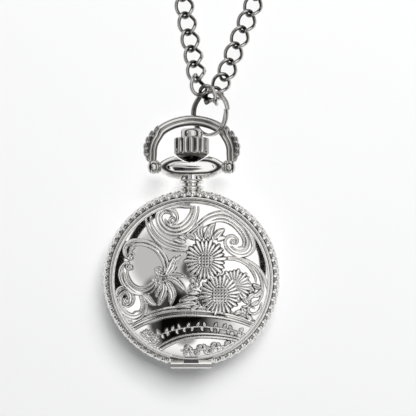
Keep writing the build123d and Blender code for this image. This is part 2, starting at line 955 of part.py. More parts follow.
def pendant():
    half = neck_bead_height / 2
    foot_end = neck_foot_start + neck_foot_height
    neck = turned_about_stem(
        *outline([
            (0, pivot_y),
            (0, plug_start),
            (neck_plug_radius, plug_start),
            (neck_plug_radius, neck_foot_start),
            (neck_foot_radius, neck_foot_start),
            (neck_foot_radius, foot_end),
            (neck_radius, neck_bead_low - half),
        ]),
        ThreePointArc(
            (neck_radius, neck_bead_low - half),
            (neck_bead_radius, neck_bead_low),
            (neck_radius, neck_bead_low + half),
        ),
        Line((neck_radius, neck_bead_low + half), (neck_radius, neck_bead_high - half)),
        ThreePointArc(
            (neck_radius, neck_bead_high - half),
            (neck_bead_radius, neck_bead_high),
            (neck_radius, neck_bead_high + half),
        ),
        *outline([(neck_radius, neck_bead_high + half), (neck_radius, pivot_y), (0, pivot_y)]),
    )
    end, cheek, shoulder = collar_half_width, collar_cheek_x, collar_shoulder_x
    section = Curve() + [
        Line((-end, 0), (-end, collar_end_radius)),
        ThreePointArc(
            (-end, collar_end_radius),
            (-cheek, collar_cheek_radius),
            (-shoulder, collar_shoulder_radius),
        ),
        ThreePointArc(
            (-shoulder, collar_shoulder_radius), (0, collar_radius), (shoulder, collar_shoulder_radius)
        ),
        ThreePointArc(
            (shoulder, collar_shoulder_radius),
            (cheek, collar_cheek_radius),
            (end, collar_end_radius),
        ),
        Line((end, collar_end_radius), (end, 0)),
        Line((end, 0), (-end, 0)),
    ]
    collar = Pos(0, pivot_y, stem_height) * revolve(make_face(section), Axis.X)
    foot, under, shoulder_point, knurl_low = crown_outline(cup_gap, press_travel)
    rim_top = crown_knurl_high
    cup = turned_about_stem(
        under,
        *outline([
            shoulder_point,
            knurl_low,
            (knurl_low[0], rim_top),
            (0, rim_top),
            (0, foot),
            (crown_foot_radius + cup_gap, foot),
        ]),
    )
    body = neck + collar - cup
    body -= across(neck_bore_radius, 0, pivot_y)
    body -= across(spring_chamber_radius, spring_chamber_floor, crown_knurl_high)
    pin_start = collar_half_width - bow_pin_seat
    for side in (-1, 1):
        start, stop = side * pin_start, side * (collar_half_width + overrun)
        body -= sideways(bow_pin_radius, min(start, stop), max(start, stop), pivot_y, stem_height)
    return body


flange_top = sleeve_flange_y + sleeve_flange_thickness
chamber_fit = spring_chamber_radius - running_gap


def push_sleeve():
    sleeve = across(neck_bore_radius - running_gap, sleeve_inner_end, sleeve_flange_y)
    sleeve += across(chamber_fit, sleeve_flange_y, flange_top)
    return sleeve - across(stem_radius + running_gap, 0, crown_foot_y)


def detent_ring():
    start = flange_top + seam_gap
    ring = across(chamber_fit, start, start + detent_thickness)
    return ring - across(stem_radius + running_gap, 0, crown_foot_y)


def crown_spring():
    """A coil of tilted half turns about the sleeve, in a wire of square section."""
    wire = crown_spring_wire
    radius = (neck_bore_radius + spring_chamber_radius) / 2
    start, end = spring_chamber_floor + wire, sleeve_flange_y - wire
    rise = (end - start) / (2 * crown_spring_turns)
    edges = []
    for k in range(2 * crown_spring_turns):
        side = 1 if k % 2 == 0 else -1
        y = start + k * rise
        edges.append(
            ThreePointArc(
                (side * radius, y, 0), (0, y + rise / 2, side * radius), (-side * radius, y + rise, 0)
            )
        )
    path = Wire(edges)
    plane = Plane(origin=path @ 0, x_dir=(1, 0, 0), z_dir=path % 0)
    coil = sweep(plane * Rectangle(wire, wire), path)
    return Pos(0, 0, stem_height) * coil


# bow


def bow_path():
    """The bow's centre line in its own plane, from foot to foot."""
    half_crest = JernArc((0, bow_height), (1, 0), bow_top_radius, -bow_top_half_angle)
    side = JernArc(half_crest @ 1, half_crest % 1, bow_side_radius, -bow_side_angle)
    points = [side @ 1, side @ 0.5, side @ 0]
    mirrored = [(-point.X, point.Y) for point in points]
    arcs = [
        ThreePointArc(*mirrored),
        ThreePointArc(mirrored[2], (0, bow_height), points[2]),
        ThreePointArc(*reversed(points)),
    ]
    return Wire([arc.edge() for arc in arcs])


def rail_section():
    outer = rail_offset + rail_half_width
    shoulder = rail_offset + rail_flat
    inner = rail_offset - rail_flat
    groove = rail_half_depth - rail_groove_depth
    half = [
        (outer, rail_flat),
        (shoulder, rail_half_depth),
        (inner, rail_half_depth),
        (0, groove),
        (-inner, rail_half_depth),
        (-shoulder, rail_half_depth),
        (-outer, rail_flat),
    ]
    return half + [(x, -y) for x, y in reversed(half)]


def bow_placed(piece):
    return Pos(0, pivot_y, stem_height) * Rot(-bow_droop, 0, 0) * piece


knob_start = collar_half_width + washer_thickness + 2 * washer_gap


def knob():
    end = knob_start + knob_length
    ring_length = knob_length / 4
    section = Curve() + [
        Line((knob_start, 0), (knob_start, knob_waist_radius)),
        Line((knob_start, knob_waist_radius), (knob_start + ring_length / 2, knob_radius)),
        Line(
            (knob_start + ring_length / 2, knob_radius), (knob_start + ring_length, knob_waist_radius)
        ),
        ThreePointArc(
            (knob_start + ring_length, knob_waist_radius),
            (knob_start + 2 * ring_length, knob_radius),
            (knob_start + 3 * ring_length, knob_waist_radius),
        ),
        ThreePointArc(
            (knob_start + 3 * ring_length, knob_waist_radius),
            (end - ring_length / 4, knob_tip_radius),
            (end, knob_end_radius),
        ),
        Line((end, knob_end_radius), (end, 0)),
        Line((end, 0), (knob_start, 0)),
    ]
    turned_knob = revolve(make_face(section), Axis.X)
    bore = sideways(
        bow_pin_radius + running_gap, knob_start - overrun,
        knob_start + bow_pin_reach + running_gap, 0, 0,
    )
    return turned_knob, bore


def bow():
    path = bow_path()
    along = path % 0
    plane = Plane(origin=path @ 0, x_dir=Vector(0, 0, 1).cross(along), z_dir=along)
    rail = sweep(plane * make_face(Polyline(rail_section(), close=True)), path)
    ball, bore = knob()
    half_turn = Rot(0, 0, 180)
    return bow_placed(rail + ball + half_turn * ball - bore - half_turn * bore)


def bow_pins():
    inner = collar_half_width - bow_pin_seat
    outer = knob_start + bow_pin_reach
    return [
        sideways(bow_pin_radius, inner, outer, pivot_y, stem_height),
        sideways(bow_pin_radius, -outer, -inner, pivot_y, stem_height),
    ]


def bow_washers():
    inner = collar_half_width + washer_gap
    outer = inner + washer_thickness
    rings = []
    for start, end in ((inner, outer), (-outer, -inner)):
        disc = sideways(washer_radius, start, end, pivot_y, stem_height)
        bore = bow_pin_radius + running_gap
        rings.append(disc - sideways(bore, start - overrun, end + overrun, pivot_y, stem_height))
    return rings


def split_ring():
    """A ring of tilted half turns that lie on each other, in a wire of eight sides."""
    rise = (ring_wire + ring_turn_gap) / 2
    middle = rise * ring_turns
    edges = []
    for k in range(2 * ring_turns):
        side = 1 if k % 2 == 0 else -1
        z = k * rise - middle
        start = (side * ring_radius, 0, z)
        end = (-side * ring_radius, 0, z + rise)
        edges.append(ThreePointArc(start, (0, side * ring_radius, z + rise / 2), end))
    path = Wire(edges)
    plane = Plane(origin=path @ 0, x_dir=(1, 0, 0), z_dir=path % 0)
    coil = sweep(plane * RegularPolygon(ring_wire / 2, 8, major_radius=True), path)
    return Pos(ring_x, ring_y, ring_height) * Rot(0, 0, ring_turn) * Rot(0, -ring_tilt, 0) * coil


# curb chain

# the links that pass through the ring: middle, way along the chain and way up
ring_links = [
    ((1.1, 30.6, 3.75), (0.2, -0.9, 0.35), (0.55, 0.4, 0.75)),
    ((2.85, 28.95, 3.65), (0.65, -0.7, -0.35), (0.5, 0.75, -0.45)),
    ((3.52, 29.15, 1.98), (0.57, 0.67, -0.47), (-0.15, 0.65, 0.75)),
    ((4.65, 31.25, 1.15), (0.52, 0.85, -0.1), (-0.15, 0.2, 0.97)),
]
# middles of the chain's two strands, from the ring outwards
left_route = [
    (0.67, 33.05, 2.6),
    (0.27, 35.7, 1.6),
    (-0.3, 38.4, 1.05),
    (-0.9, 41.7, 0.86),
    (-1.4, 45.0, 0.84),
    (-2.1, 49.4, 0.84),
]
right_route = [
    (5.78, 33.62, 0.94),
    (6.78, 36.25, 0.86),
    (7.75, 38.8, 0.84),
    (8.95, 41.6, 0.84),
    (10.15, 44.6, 0.84),
    (11.8, 49.2, 0.84),
]
# and of its runs to the coil, between the last link and the coil's first straight
left_run = [
    (-3.2, 51.6, 1.1),
    (-6.4, 54.9, 2.0),
    (-10.4, 59.4, 2.75),
    (-13.4, 63.8, 2.79),
    (-14.3, 67.6, 2.79),
]
right_run = [
    (13.4, 52.0, 0.84),
    (16.4, 56.0, 0.84),
    (19.4, 60.2, 0.84),
    (21.6, 64.6, 0.84),
    (22.3, 67.9, 0.84),
]
links_per_strand = 6


def link_point(share):
    """A point of a link's centre line, share turns from its nose, and the way out across the wire."""
    angle = 2 * pi * share
    x = link_half_length * cos(angle)
    reach = link_half_width * sin(angle)
    roll = radians(link_twist) * cos(angle)
    return Vector(x, reach * cos(roll), reach * sin(roll))


def link_loft(first, last):
    """Half a link: rings of the wire's section, ruled together."""
    step = 1 / (8 * link_steps)
    rings = []
    for k in range(first, last + 1):
        share = k / link_steps
        here = link_point(share)
        along = link_point(share + step) - link_point(share - step)
        plane = Plane(origin=here, x_dir=here.cross(along).cross(along), z_dir=along)
        rings.append(plane * RegularPolygon(link_wire / 2, wire_sides, major_radius=True))
    return loft(rings, ruled=True)


def curb_link():
    half = link_steps // 2
    return link_loft(0, half) + link_loft(half, link_steps)


def link_place(middle, along, up=(0, 0, 1)):
    along = Vector(along)
    return Plane(origin=middle, x_dir=along, z_dir=along.cross(Vector(up).cross(along)))


def links_in_ring():
    link = curb_link()
    return [link_place(*place) * link for place in ring_links]


def chain_links(route):
    """Links a pitch apart along a route, their faces up."""
    line = Spline(*route)
    link = curb_link()
    links = []
    for k in range(links_per_strand):
        share = (k * link_pitch) / line.length
        links.append(link_place(line @ share, line % share) * link)
    return links


def strap_section():
    """The outer shape of a curb chain lying flat."""
    half_width, half_height = strap_width / 2, strap_height / 2
    return [
        (half_width, 0),
        (half_width - strap_edge, half_height),
        (strap_edge - half_width, half_height),
        (-half_width, 0),
        (strap_edge - half_width, -half_height),
        (half_width - strap_edge, -half_height),
    ]


def strap(path):
    along = path % 0
    plane = Plane(origin=path @ 0, x_dir=along.cross(Vector(0, 0, 1)), z_dir=along)
    return sweep(plane * make_face(Polyline(strap_section(), close=True)), path)


def fillet_radii(points):
    """For each corner, 0.45 of its shorter run divided by the tangent of half the turn."""
    corner_share = 0.45
    radii = []
    for a, b, c in zip(points, points[1:], points[2:]):
        before, after = Vector(*b) - Vector(*a), Vector(*c) - Vector(*b)
        half_turn = radians(before.get_angle(after)) / 2
        radii.append(corner_share * min(before.length, after.length) / tan(half_turn))
    return radii


def run_start(route):
    """The point of a route just past its last link."""
    line = Spline(*route)
    along = (links_per_strand - 1) * link_pitch + link_half_length + link_wire / 2 + strap_end_gap
    return tuple(line @ (along / line.length))


def chain_run(route, middle_points, coil_start):
    points = [run_start(route), *middle_points, coil_start]
    radii = fillet_radii(points)
    print("chain run radii", [round(r, 1) for r in radii])
    path = FilletPolyline(*points, radius=radii)
    return strap(path), path.length


def coil_start(side, level):
    """Where a run meets the coil's first straight: side 1 at the right, side -1 at the left."""
    return (coil_middle_x + side * coil_outer_radius, coil_middle_y - coil_straight / 2, level)


def coil_path(side, levels):
    """An oval spiral from its outside in."""
    count = len(levels) - 1
    reaches = [coil_outer_radius - k * coil_step / 2 for k in range(count)] + [clasp_offset]
    last = Vector(coil_start(side, levels[0]))
    edges = []
    for k in range(count):
        way = side if k % 2 == 0 else -side
        upper = 1 if k % 2 == 0 else -1
        y = coil_middle_y + upper * coil_straight / 2
        start = Vector(coil_middle_x + way * reaches[k], y, levels[k])
        end = Vector(coil_middle_x - way * reaches[k + 1], y, levels[k + 1])
        middle = (start + end) / 2 + Vector(0, upper * (start - end).length / 2, 0)
        edges.append(Line(last, start))
        edges.append(ThreePointArc(start, middle, end))
        last = end
    return Wire([edge.edge() for edge in edges])


lower_levels = [chain_height] * (coil_half_turns + 1)
upper_levels = [chain_top_layer] * (coil_half_turns + 1) + [clasp_height]
clasp_x = coil_middle_x - clasp_offset


def least_gap(path, skip, samples=600):
    """The least distance between the strap's edges at places at least skip apart along the path."""
    points = [path @ (k / samples) for k in range(samples + 1)]
    step = path.length / samples
    near = int(skip / step)
    least = min(
        (points[j] - points[i]).length
        for i in range(len(points))
        for j in range(i + near, len(points))
    )
    return least - strap_width


# clasp

eye_y = coil_middle_y + coil_straight / 2 - clasp_eye_radius - strap_end_gap
body_top = eye_y - clasp_eye_hole
ring_middle_y = coil_middle_y - coil_straight / 2 + end_ring_radius + end_ring_wire / 2 + strap_end_gap
hole_low = ring_middle_y + end_ring_radius * end_ring_seat_share
body_low = hole_low - clasp_tip_wall
clasp_length = body_top - body_low
hole_high = hole_low + clasp_hole_length
hole_middle = (hole_low + hole_high) / 2
lever_outer = clasp_x + clasp_half_width
lever_inner = lever_outer - clasp_lever_width
lever_pivot_y = hole_high + clasp_pin_radius * 2
lever_pivot_x = lever_outer - clasp_lever_width


def clasp_blank(thickness):
    middle = (body_top + body_low) / 2
    rounded = SlotCenterToCenter(clasp_length - 2 * clasp_half_width, 2 * clasp_half_width, rotation=90)
    low = clasp_height - thickness / 2
    return Pos(clasp_x, middle, low) * extrude(rounded, thickness)


def clasp_hole():
    rounded = SlotCenterToCenter(
        clasp_hole_length - 2 * clasp_hole_half_width, 2 * clasp_hole_half_width, rotation=90
    )
    return Pos(clasp_x, hole_middle, 0) * extrude(rounded, clasp_height + clasp_thickness)


def lever_zone(slack):
    """The space of the lever on the clasp's open side."""
    return slab(
        lever_inner - slack, lever_outer + overrun, hole_middle - slack,
        lever_pivot_y + clasp_lever_width + slack, 0, clasp_height + clasp_thickness,
    )


def clasp_body():
    low, high = clasp_height - clasp_thickness / 2, clasp_height + clasp_thickness / 2
    body = clasp_blank(clasp_thickness) - clasp_hole()
    body += upright(clasp_eye_radius, low, high, clasp_x, eye_y)
    body -= upright(clasp_eye_hole, 0, high + overrun, clasp_x, eye_y)
    cheek = clasp_thickness / 4
    cheek_left, cheek_right = lever_inner - clasp_half_width, lever_outer + overrun
    cheeks = slab(cheek_left, cheek_right, hole_high, body_top, low, low + cheek)
    cheeks += slab(cheek_left, cheek_right, hole_high, body_top, high - cheek, high)
    for k in range(clasp_lever_swing_steps + 1):
        angle = -clasp_lever_swing * k / clasp_lever_swing_steps
        turn = Pos(lever_pivot_x, lever_pivot_y) * Rot(0, 0, angle)
        body -= turn * Pos(-lever_pivot_x, -lever_pivot_y) * lever_zone(clasp_lever_gap) - cheeks
    return body - upright(clasp_pin_radius, 0, high + overrun, lever_pivot_x, lever_pivot_y)


def clasp_lever():
    half = clasp_thickness / 4 - clasp_lever_gap
    low, high = clasp_height - half, clasp_height + half
    lever = slab(
        lever_inner, lever_outer, hole_middle, lever_pivot_y + clasp_lever_width, low, high
    )
    lever = lever & clasp_blank(clasp_thickness)
    lever += slab(
        lever_outer - clasp_pin_radius, lever_outer + thumb_reach,
        lever_pivot_y - thumb_length / 2, lever_pivot_y + thumb_length / 2, low, high,
    )
    bore = clasp_pin_radius + running_gap
    return lever - upright(bore, 0, high + overrun, lever_pivot_x, lever_pivot_y)


def clasp_pin():
    low, high = clasp_height - clasp_thickness / 2, clasp_height + clasp_thickness / 2
    return upright(clasp_pin_radius, low, high, lever_pivot_x, lever_pivot_y)


def end_ring():
    section = Pos(end_ring_radius, 0) * RegularPolygon(end_ring_wire / 2, 8, major_radius=True)
    ring = revolve(Plane.XZ * section, Axis.Z)
    place = Pos(clasp_x, ring_middle_y, clasp_height)
    return place * Rot(0, end_ring_tilt, 0) * ring


def build():
    lower_path = coil_path(1, lower_levels)
    upper_path = coil_path(-1, upper_levels)
    left_strap, left_length = chain_run(left_route, left_run, coil_start(-1, chain_top_layer))
    right_strap, right_length = chain_run(right_route, right_run, coil_start(1, chain_height))
    print("least gap in the lower layer", round(least_gap(lower_path, coil_straight * 2), 2))
    print("least gap in the upper layer", round(least_gap(upper_path, coil_straight * 2), 2))
    strands = (2 * links_per_strand + len(ring_links)) * link_pitch
    total = lower_path.length + upper_path.length + left_length + right_length + strands
    print("chain length", round(total + coil_straight, 1))
    lower, upper = strap(lower_path), strap(upper_path)
    section = make_face(Polyline(strap_section(), close=True)).area
    for name, piece, length in (
        ("left run", left_strap, left_length),
        ("right run", right_strap, right_length),
        ("lower coil", lower, lower_path.length),
        ("upper coil", upper, upper_path.length),
    ):
        print(name, "volume", round(piece.volume, 2), "section times length", round(section * length, 2))
    return {
        "case_band": case_band(),
        "lid": lid(),
        "lid_hinge_pin": hinge_pin(),
        "lid_spring": lid_spring(),
        "catch_spring": catch_spring(),
        "back_cover": back_cover(),
        "back_gasket": back_gasket(),
        "bezel": bezel(),
        "crystal": crystal(),
        "dial": dial(),
        "hour_hand": hand(
            hour_hand_length, hour_hand_width, hour_hand_level, hand_hub_radius,
            hour_pipe_radius, hour_hand_angle,
        ),
        "minute_hand": hand(
            minute_hand_length, minute_hand_width, minute_hand_level, hour_pipe_radius,
            cannon_radius, minute_hand_angle,
        ),
        "second_hand": hand(
            second_hand_length, second_hand_width, second_hand_level, cannon_radius,
            second_arbor_radius, second_hand_angle,
        ),
        "hour_wheel": hour_wheel(),
        "cannon_pinion": cannon_pinion(),
        "minute_wheel": minute_wheel(),
        "second_wheel": second_wheel(),
        "third_wheel": third_wheel(),
        "drive_wheel": drive_wheel(),
        "centre_wheel": centre_wheel(),
        "rotor": rotor(),
        "main_plate": main_plate(),
        "train_bridge": train_bridge(),
        "bridge_screws": bridge_screws(),
        "movement_holder": movement_holder(),
        "battery": battery(),
        "battery_clamp": battery_clamp(),
        "drive_coil": drive_coil(),
        "stator": stator(),
        "circuit_board": circuit_board(),
        "quartz_can": quartz_can(),
        "stem": stem(),
        "sliding_pinion": sliding_pinion(),
        "pendant": pendant(),
        "push_sleeve": push_sleeve(),
        "detent_ring": detent_ring(),
        "crown_spring": crown_spring(),
        "crown": crown() - stem(),
        "bow": bow(),
        "bow_pins": bow_pins(),
        "bow_washers": bow_washers(),
        "split_ring": split_ring(),
        "chain_links_ring": links_in_ring(),
        "chain_links_left": chain_links(left_route),
        "chain_links_right": chain_links(right_route),
        "chain_run_left": left_strap,
        "chain_run_right": right_strap,
        "chain_coil_lower": lower,
        "chain_coil_upper": upper,
        "clasp_body": clasp_body(),
        "clasp_lever": clasp_lever(),
        "clasp_pin": clasp_pin(),
        "clasp_end_ring": end_ring(),
    }


os.makedirs("parts", exist_ok=True)
for name, piece in build().items():
    solids = piece if isinstance(piece, list) else [piece]
    whole = Compound([solid for item in solids for solid in item.solids()])
    export_step(whole, f"parts/{name}.step")
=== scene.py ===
import math
import bpy
import numpy as np
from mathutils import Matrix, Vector


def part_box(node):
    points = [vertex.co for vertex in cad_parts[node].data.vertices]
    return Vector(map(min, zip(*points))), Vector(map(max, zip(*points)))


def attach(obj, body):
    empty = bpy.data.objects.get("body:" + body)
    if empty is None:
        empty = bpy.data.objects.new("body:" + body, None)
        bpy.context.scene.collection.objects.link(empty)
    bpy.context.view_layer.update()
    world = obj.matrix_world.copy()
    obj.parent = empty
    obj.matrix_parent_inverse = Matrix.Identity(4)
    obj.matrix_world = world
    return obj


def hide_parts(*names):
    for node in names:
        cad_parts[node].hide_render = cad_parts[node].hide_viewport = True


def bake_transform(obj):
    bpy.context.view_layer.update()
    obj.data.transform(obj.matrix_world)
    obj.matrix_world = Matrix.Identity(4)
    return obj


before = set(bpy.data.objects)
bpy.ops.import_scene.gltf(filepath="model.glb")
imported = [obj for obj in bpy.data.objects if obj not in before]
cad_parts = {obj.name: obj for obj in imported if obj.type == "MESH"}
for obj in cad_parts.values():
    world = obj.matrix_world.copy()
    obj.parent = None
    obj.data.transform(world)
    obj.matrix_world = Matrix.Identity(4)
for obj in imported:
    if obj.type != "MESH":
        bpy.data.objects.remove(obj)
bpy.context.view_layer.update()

mm = 0.001
fullTurn = 2 * math.pi

print("pendant watch: the packed frame is loaded")


# small tools for lines and meshes; all lengths are in millimetres
def unit(v):
    v = np.asarray(v, float)
    return v / np.maximum(np.linalg.norm(v, axis=-1, keepdims=True), 1e-9)


# 0 up to start, 1 from end on, straight between them
def ramp(value, start, end):
    return np.clip((value - start) / (end - start), 0, 1)


def newPiece(name, verts, faces, material, smooth=True):
    mesh = bpy.data.meshes.new(name)
    mesh.from_pydata((np.asarray(verts, float) * mm).tolist(), [], faces)
    mesh.validate()
    mesh.polygons.foreach_set("use_smooth", [smooth] * len(mesh.polygons))
    piece = bpy.data.objects.new(name, mesh)
    bpy.context.scene.collection.objects.link(piece)
    mesh.materials.append(material)
    return piece


# the share of painted shade in each point of a piece
def tarnished(piece, shade):
    layer = piece.data.attributes.new("hollow", "FLOAT", "POINT")
    layer.data.foreach_set("value", np.asarray(shade, np.float32).ravel())


# points and faces of a curve or a text, which is removed again
def readCurve(curve):
    holder = bpy.data.objects.new(curve.name, curve)
    bpy.context.scene.collection.objects.link(holder)
    bpy.context.view_layer.update()
    mesh = bpy.data.meshes.new_from_object(holder.evaluated_get(bpy.context.evaluated_depsgraph_get()))
    points = np.array([v.co for v in mesh.vertices], float)
    faces = [list(p.vertices) for p in mesh.polygons]
    bpy.data.objects.remove(holder)
    bpy.data.curves.remove(curve)
    bpy.data.meshes.remove(mesh)
    return points, faces


def gridFaces(rows, columns, wrapRows=False, wrapColumns=True):
    a = np.arange(rows if wrapRows else rows - 1)
    b = np.arange(columns if wrapColumns else columns - 1)
    i, j = np.meshgrid(a, b, indexing="ij")
    nextI, nextJ = (i + 1) % rows, (j + 1) % columns
    quads = np.stack([i * columns + j, i * columns + nextJ, nextI * columns + nextJ, nextI * columns + j], -1)
    return quads.reshape(-1, 4).tolist()


# the two faces that close a tube: its first and its last ring of points
def endFaces(count, sides):
    return [list(range(sides)), [count - 1 - k for k in range(sides)]]


# one list of points and faces from several
def joined(parts):
    verts, faces, count = [], [], 0
    for v, f in parts:
        verts.append(np.asarray(v, float))
        faces.extend([[k + count for k in face] for face in f])
        count += len(v)
    return np.vstack(verts), faces


# a section of (across, up) points carried along a line; an open tube has closed ends
def tube(line, section, ups, closed=False):
    line = np.asarray(line, float)
    count = len(line)
    along = unit(np.roll(line, -1, 0) - np.roll(line, 1, 0) if closed else np.gradient(line, axis=0))
    across = unit(np.cross(along, ups))
    up = np.cross(across, along)
    section = np.asarray(section, float)
    if section.ndim == 2:
        section = np.tile(section, (count, 1, 1))
    verts = line[:, None] + section[..., :1] * across[:, None] + section[..., 1:2] * up[:, None]
    sides = section.shape[1]
    faces = gridFaces(count, sides, wrapRows=closed)
    if not closed:
        faces += endFaces(count * sides, sides)
    return verts.reshape(-1, 3), faces


def roundSection(radius, sides):
    t = np.arange(sides) * fullTurn / sides
    return np.c_[radius * np.cos(t), radius * np.sin(t)]


# the length of each step of a line, and how far along it each point lies
def lineReach(line):
    steps = np.linalg.norm(np.diff(line, axis=0), axis=1)
    return steps, np.r_[0, np.cumsum(steps)]


# a line through the points, rounded between them
def smoothLine(points, steps=6):
    p = np.asarray(points, float)
    p = np.vstack([2 * p[0] - p[1], p, 2 * p[-1] - p[-2]])
    t = np.arange(steps)[:, None] / steps
    rows = []
    for a, b, c, d in zip(p, p[1:], p[2:], p[3:]):
        square, cube = 2 * a - 5 * b + 4 * c - d, 3 * b - a - 3 * c + d
        rows.append(0.5 * (2 * b + (c - a) * t + square * t**2 + cube * t**3))
    return np.vstack(rows + [p[-2][None]])


# a socket gets a link from another socket, or a value of its own
def feed(tree, value, socket):
    if isinstance(value, bpy.types.NodeSocket):
        tree.links.new(value, socket)
    else:
        socket.default_value = value


# a shader node with its settings and inputs; the answer is the output that is wanted from it
def addNode(tree, kind, inputs, output=0, **settings):
    node = tree.nodes.new("ShaderNode" + kind)
    for name, value in settings.items():
        setattr(node, name, value)
    for name, value in inputs.items():
        feed(tree, value, node.inputs[name])
    return node.outputs[output]


def mathNode(tree, operation, *values):
    return addNode(tree, "Math", dict(enumerate(values)), operation=operation)


def mixColours(tree, factor, a, b, **settings):
    return addNode(tree, "Mix", {"Factor": factor, "A": a, "B": b}, "Result", data_type="RGBA", **settings)


# a smooth change from one value to another, where the input goes from start to end
def softStep(tree, value, start, end, low, high):
    given = {"Value": value, "From Min": start, "From Max": end, "To Min": low, "To Max": high}
    return addNode(tree, "MapRange", given, "Result", interpolation_type="SMOOTHSTEP")


def newGroup(name, inputs, outputs):
    group = bpy.data.node_groups.new(name, "ShaderNodeTree")
    for way, sockets in (("INPUT", inputs), ("OUTPUT", outputs)):
        for label, kind in sockets.items():
            group.interface.new_socket(label, in_out=way, socket_type="NodeSocket" + kind)
    return group, group.nodes.new("NodeGroupInput").outputs, group.nodes.new("NodeGroupOutput").inputs


# grain and fine handling marks: a colour, a roughness and a normal that change over the surface
def handlingGroup(detail=6, depth=0.02 * mm):
    wanted = {"Color": "Color", "Worn Color": "Color", "Scale": "Float", "Roughness": "Float",
              "Spread": "Float", "Bump": "Float"}
    offered = {"Color": "Color", "Roughness": "Float", "Normal": "Vector"}
    group, given, out = newGroup("fineHandling", wanted, offered)
    place = addNode(group, "TexCoord", {}, "Object")
    cloud = addNode(group, "TexNoise", {"Vector": place, "Scale": given["Scale"], "Detail": detail}, "Fac")
    shift = mathNode(group, "SUBTRACT", cloud, 0.5)
    feed(group, mixColours(group, cloud, given["Color"], given["Worn Color"]), out["Color"])
    feed(group, mathNode(group, "MULTIPLY_ADD", shift, given["Spread"], given["Roughness"]), out["Roughness"])
    dents = {"Strength": given["Bump"], "Distance": depth, "Height": cloud}
    feed(group, addNode(group, "Bump", dents, "Normal"), out["Normal"])
    return group


# bright metal darkened by painted shade, as far as the piece's own hollow attribute says
def tarnishGroup():
    wanted = {"Color": "Color", "Dark Color": "Color"}
    group, given, out = newGroup("hollowTarnish", wanted, {"Color": "Color"})
    hollow = addNode(group, "Attribute", {}, "Fac", attribute_name="hollow")
    feed(group, mixColours(group, hollow, given["Color"], given["Dark Color"]), out["Color"])
    return group


handling = handlingGroup()
paintedShade = tarnishGroup()


def placeGroup(tree, group, values):
    node = tree.nodes.new("ShaderNodeGroup")
    node.node_tree = group
    for name, value in values.items():
        node.inputs[name].default_value = value
    return node.outputs


# a finish with a second colour where it is worn, or a dark one where shade is painted on
def finish(name, colour, worn=None, dark=None, roughness=0.3, spread=0.1, grain=900, bump=0.0, **sockets):
    material = bpy.data.materials.new(name)
    material.use_nodes = True
    tree = material.node_tree
    shader = tree.nodes["Principled BSDF"].inputs
    shader["Base Color"].default_value = (*colour, 1)
    for socket, value in sockets.items():
        shader[socket.replace("_", " ")].default_value = value
    values = {"Scale": grain, "Roughness": roughness, "Spread": spread, "Bump": bump}
    if worn:
        values.update({"Color": (*colour, 1), "Worn Color": (*worn, 1)})
    wear = placeGroup(tree, handling, values)
    tree.links.new(wear["Roughness"], shader["Roughness"])
    if bump:
        tree.links.new(wear["Normal"], shader["Normal"])
    if worn:
        tree.links.new(wear["Color"], shader["Base Color"])
    if dark:
        # painted shade: the dark colour is mixed in by the hollow attribute
        hollows = placeGroup(tree, paintedShade, {"Color": (*colour, 1), "Dark Color": (*dark, 1)})
        tree.links.new(hollows["Color"], shader["Base Color"])
    return material


# finishes
plate = {"Metallic": 1.0, "spread": 0.03, "grain": 1500, "bump": 0.03}
polished = finish("polishedPlate", (0.80, 0.79, 0.77), (0.86, 0.85, 0.83), roughness=0.07, Metallic=1.0,
                  spread=0.05, grain=1400, bump=0.05)
# the dark colours of these three finishes are painted shade
coverMetal = finish("chasedPlate", (0.94, 0.93, 0.91), dark=(0.04, 0.038, 0.034), roughness=0.05, **plate)
rimMetal = finish("rimPlate", (1.0, 0.99, 0.97), dark=(0.40, 0.39, 0.37), roughness=0.14, **plate)
chainPlate = finish("chainPlate", (0.66, 0.65, 0.63), dark=(0.035, 0.033, 0.03), roughness=0.09, **plate)
dialWhite = finish("dialEnamel", (0.86, 0.85, 0.80), (0.90, 0.89, 0.85), spread=0.08, grain=2500)
glass = finish("crystalGlass", (1.0, 1.0, 1.0), roughness=0.01, spread=0.005, IOR=1.49,
               Transmission_Weight=1.0)
# colour, worn colour, roughness, how far it spreads, and 1 for metals
plainFinishes = {
    "springSteel": ((0.55, 0.55, 0.56), (0.63, 0.63, 0.64), 0.28, 0.12, 1),
    "movementBrass": ((0.72, 0.53, 0.22), (0.80, 0.62, 0.30), 0.25, 0.12, 1),
    "copperWire": ((0.75, 0.32, 0.14), (0.85, 0.42, 0.2), 0.35, 0.15, 1),
    "blackRubber": ((0.018, 0.018, 0.02), (0.03, 0.03, 0.03), 0.75, 0.15, 0),
    "holderPlastic": ((0.80, 0.80, 0.78), (0.86, 0.86, 0.84), 0.45, 0.1, 0),
    "boardGreen": ((0.02, 0.16, 0.07), (0.03, 0.22, 0.10), 0.4, 0.1, 0),
    "dialInk": ((0.012, 0.012, 0.014), (0.02, 0.02, 0.022), 0.4, 0.1, 0),
    "handBlack": ((0.01, 0.01, 0.012), (0.02, 0.02, 0.02), 0.25, 0.08, 0),
}
made = {
    name: finish(name, colour, worn, roughness=roughness, spread=spread, Metallic=metallic)
    for name, (colour, worn, roughness, spread, metallic) in plainFinishes.items()
}

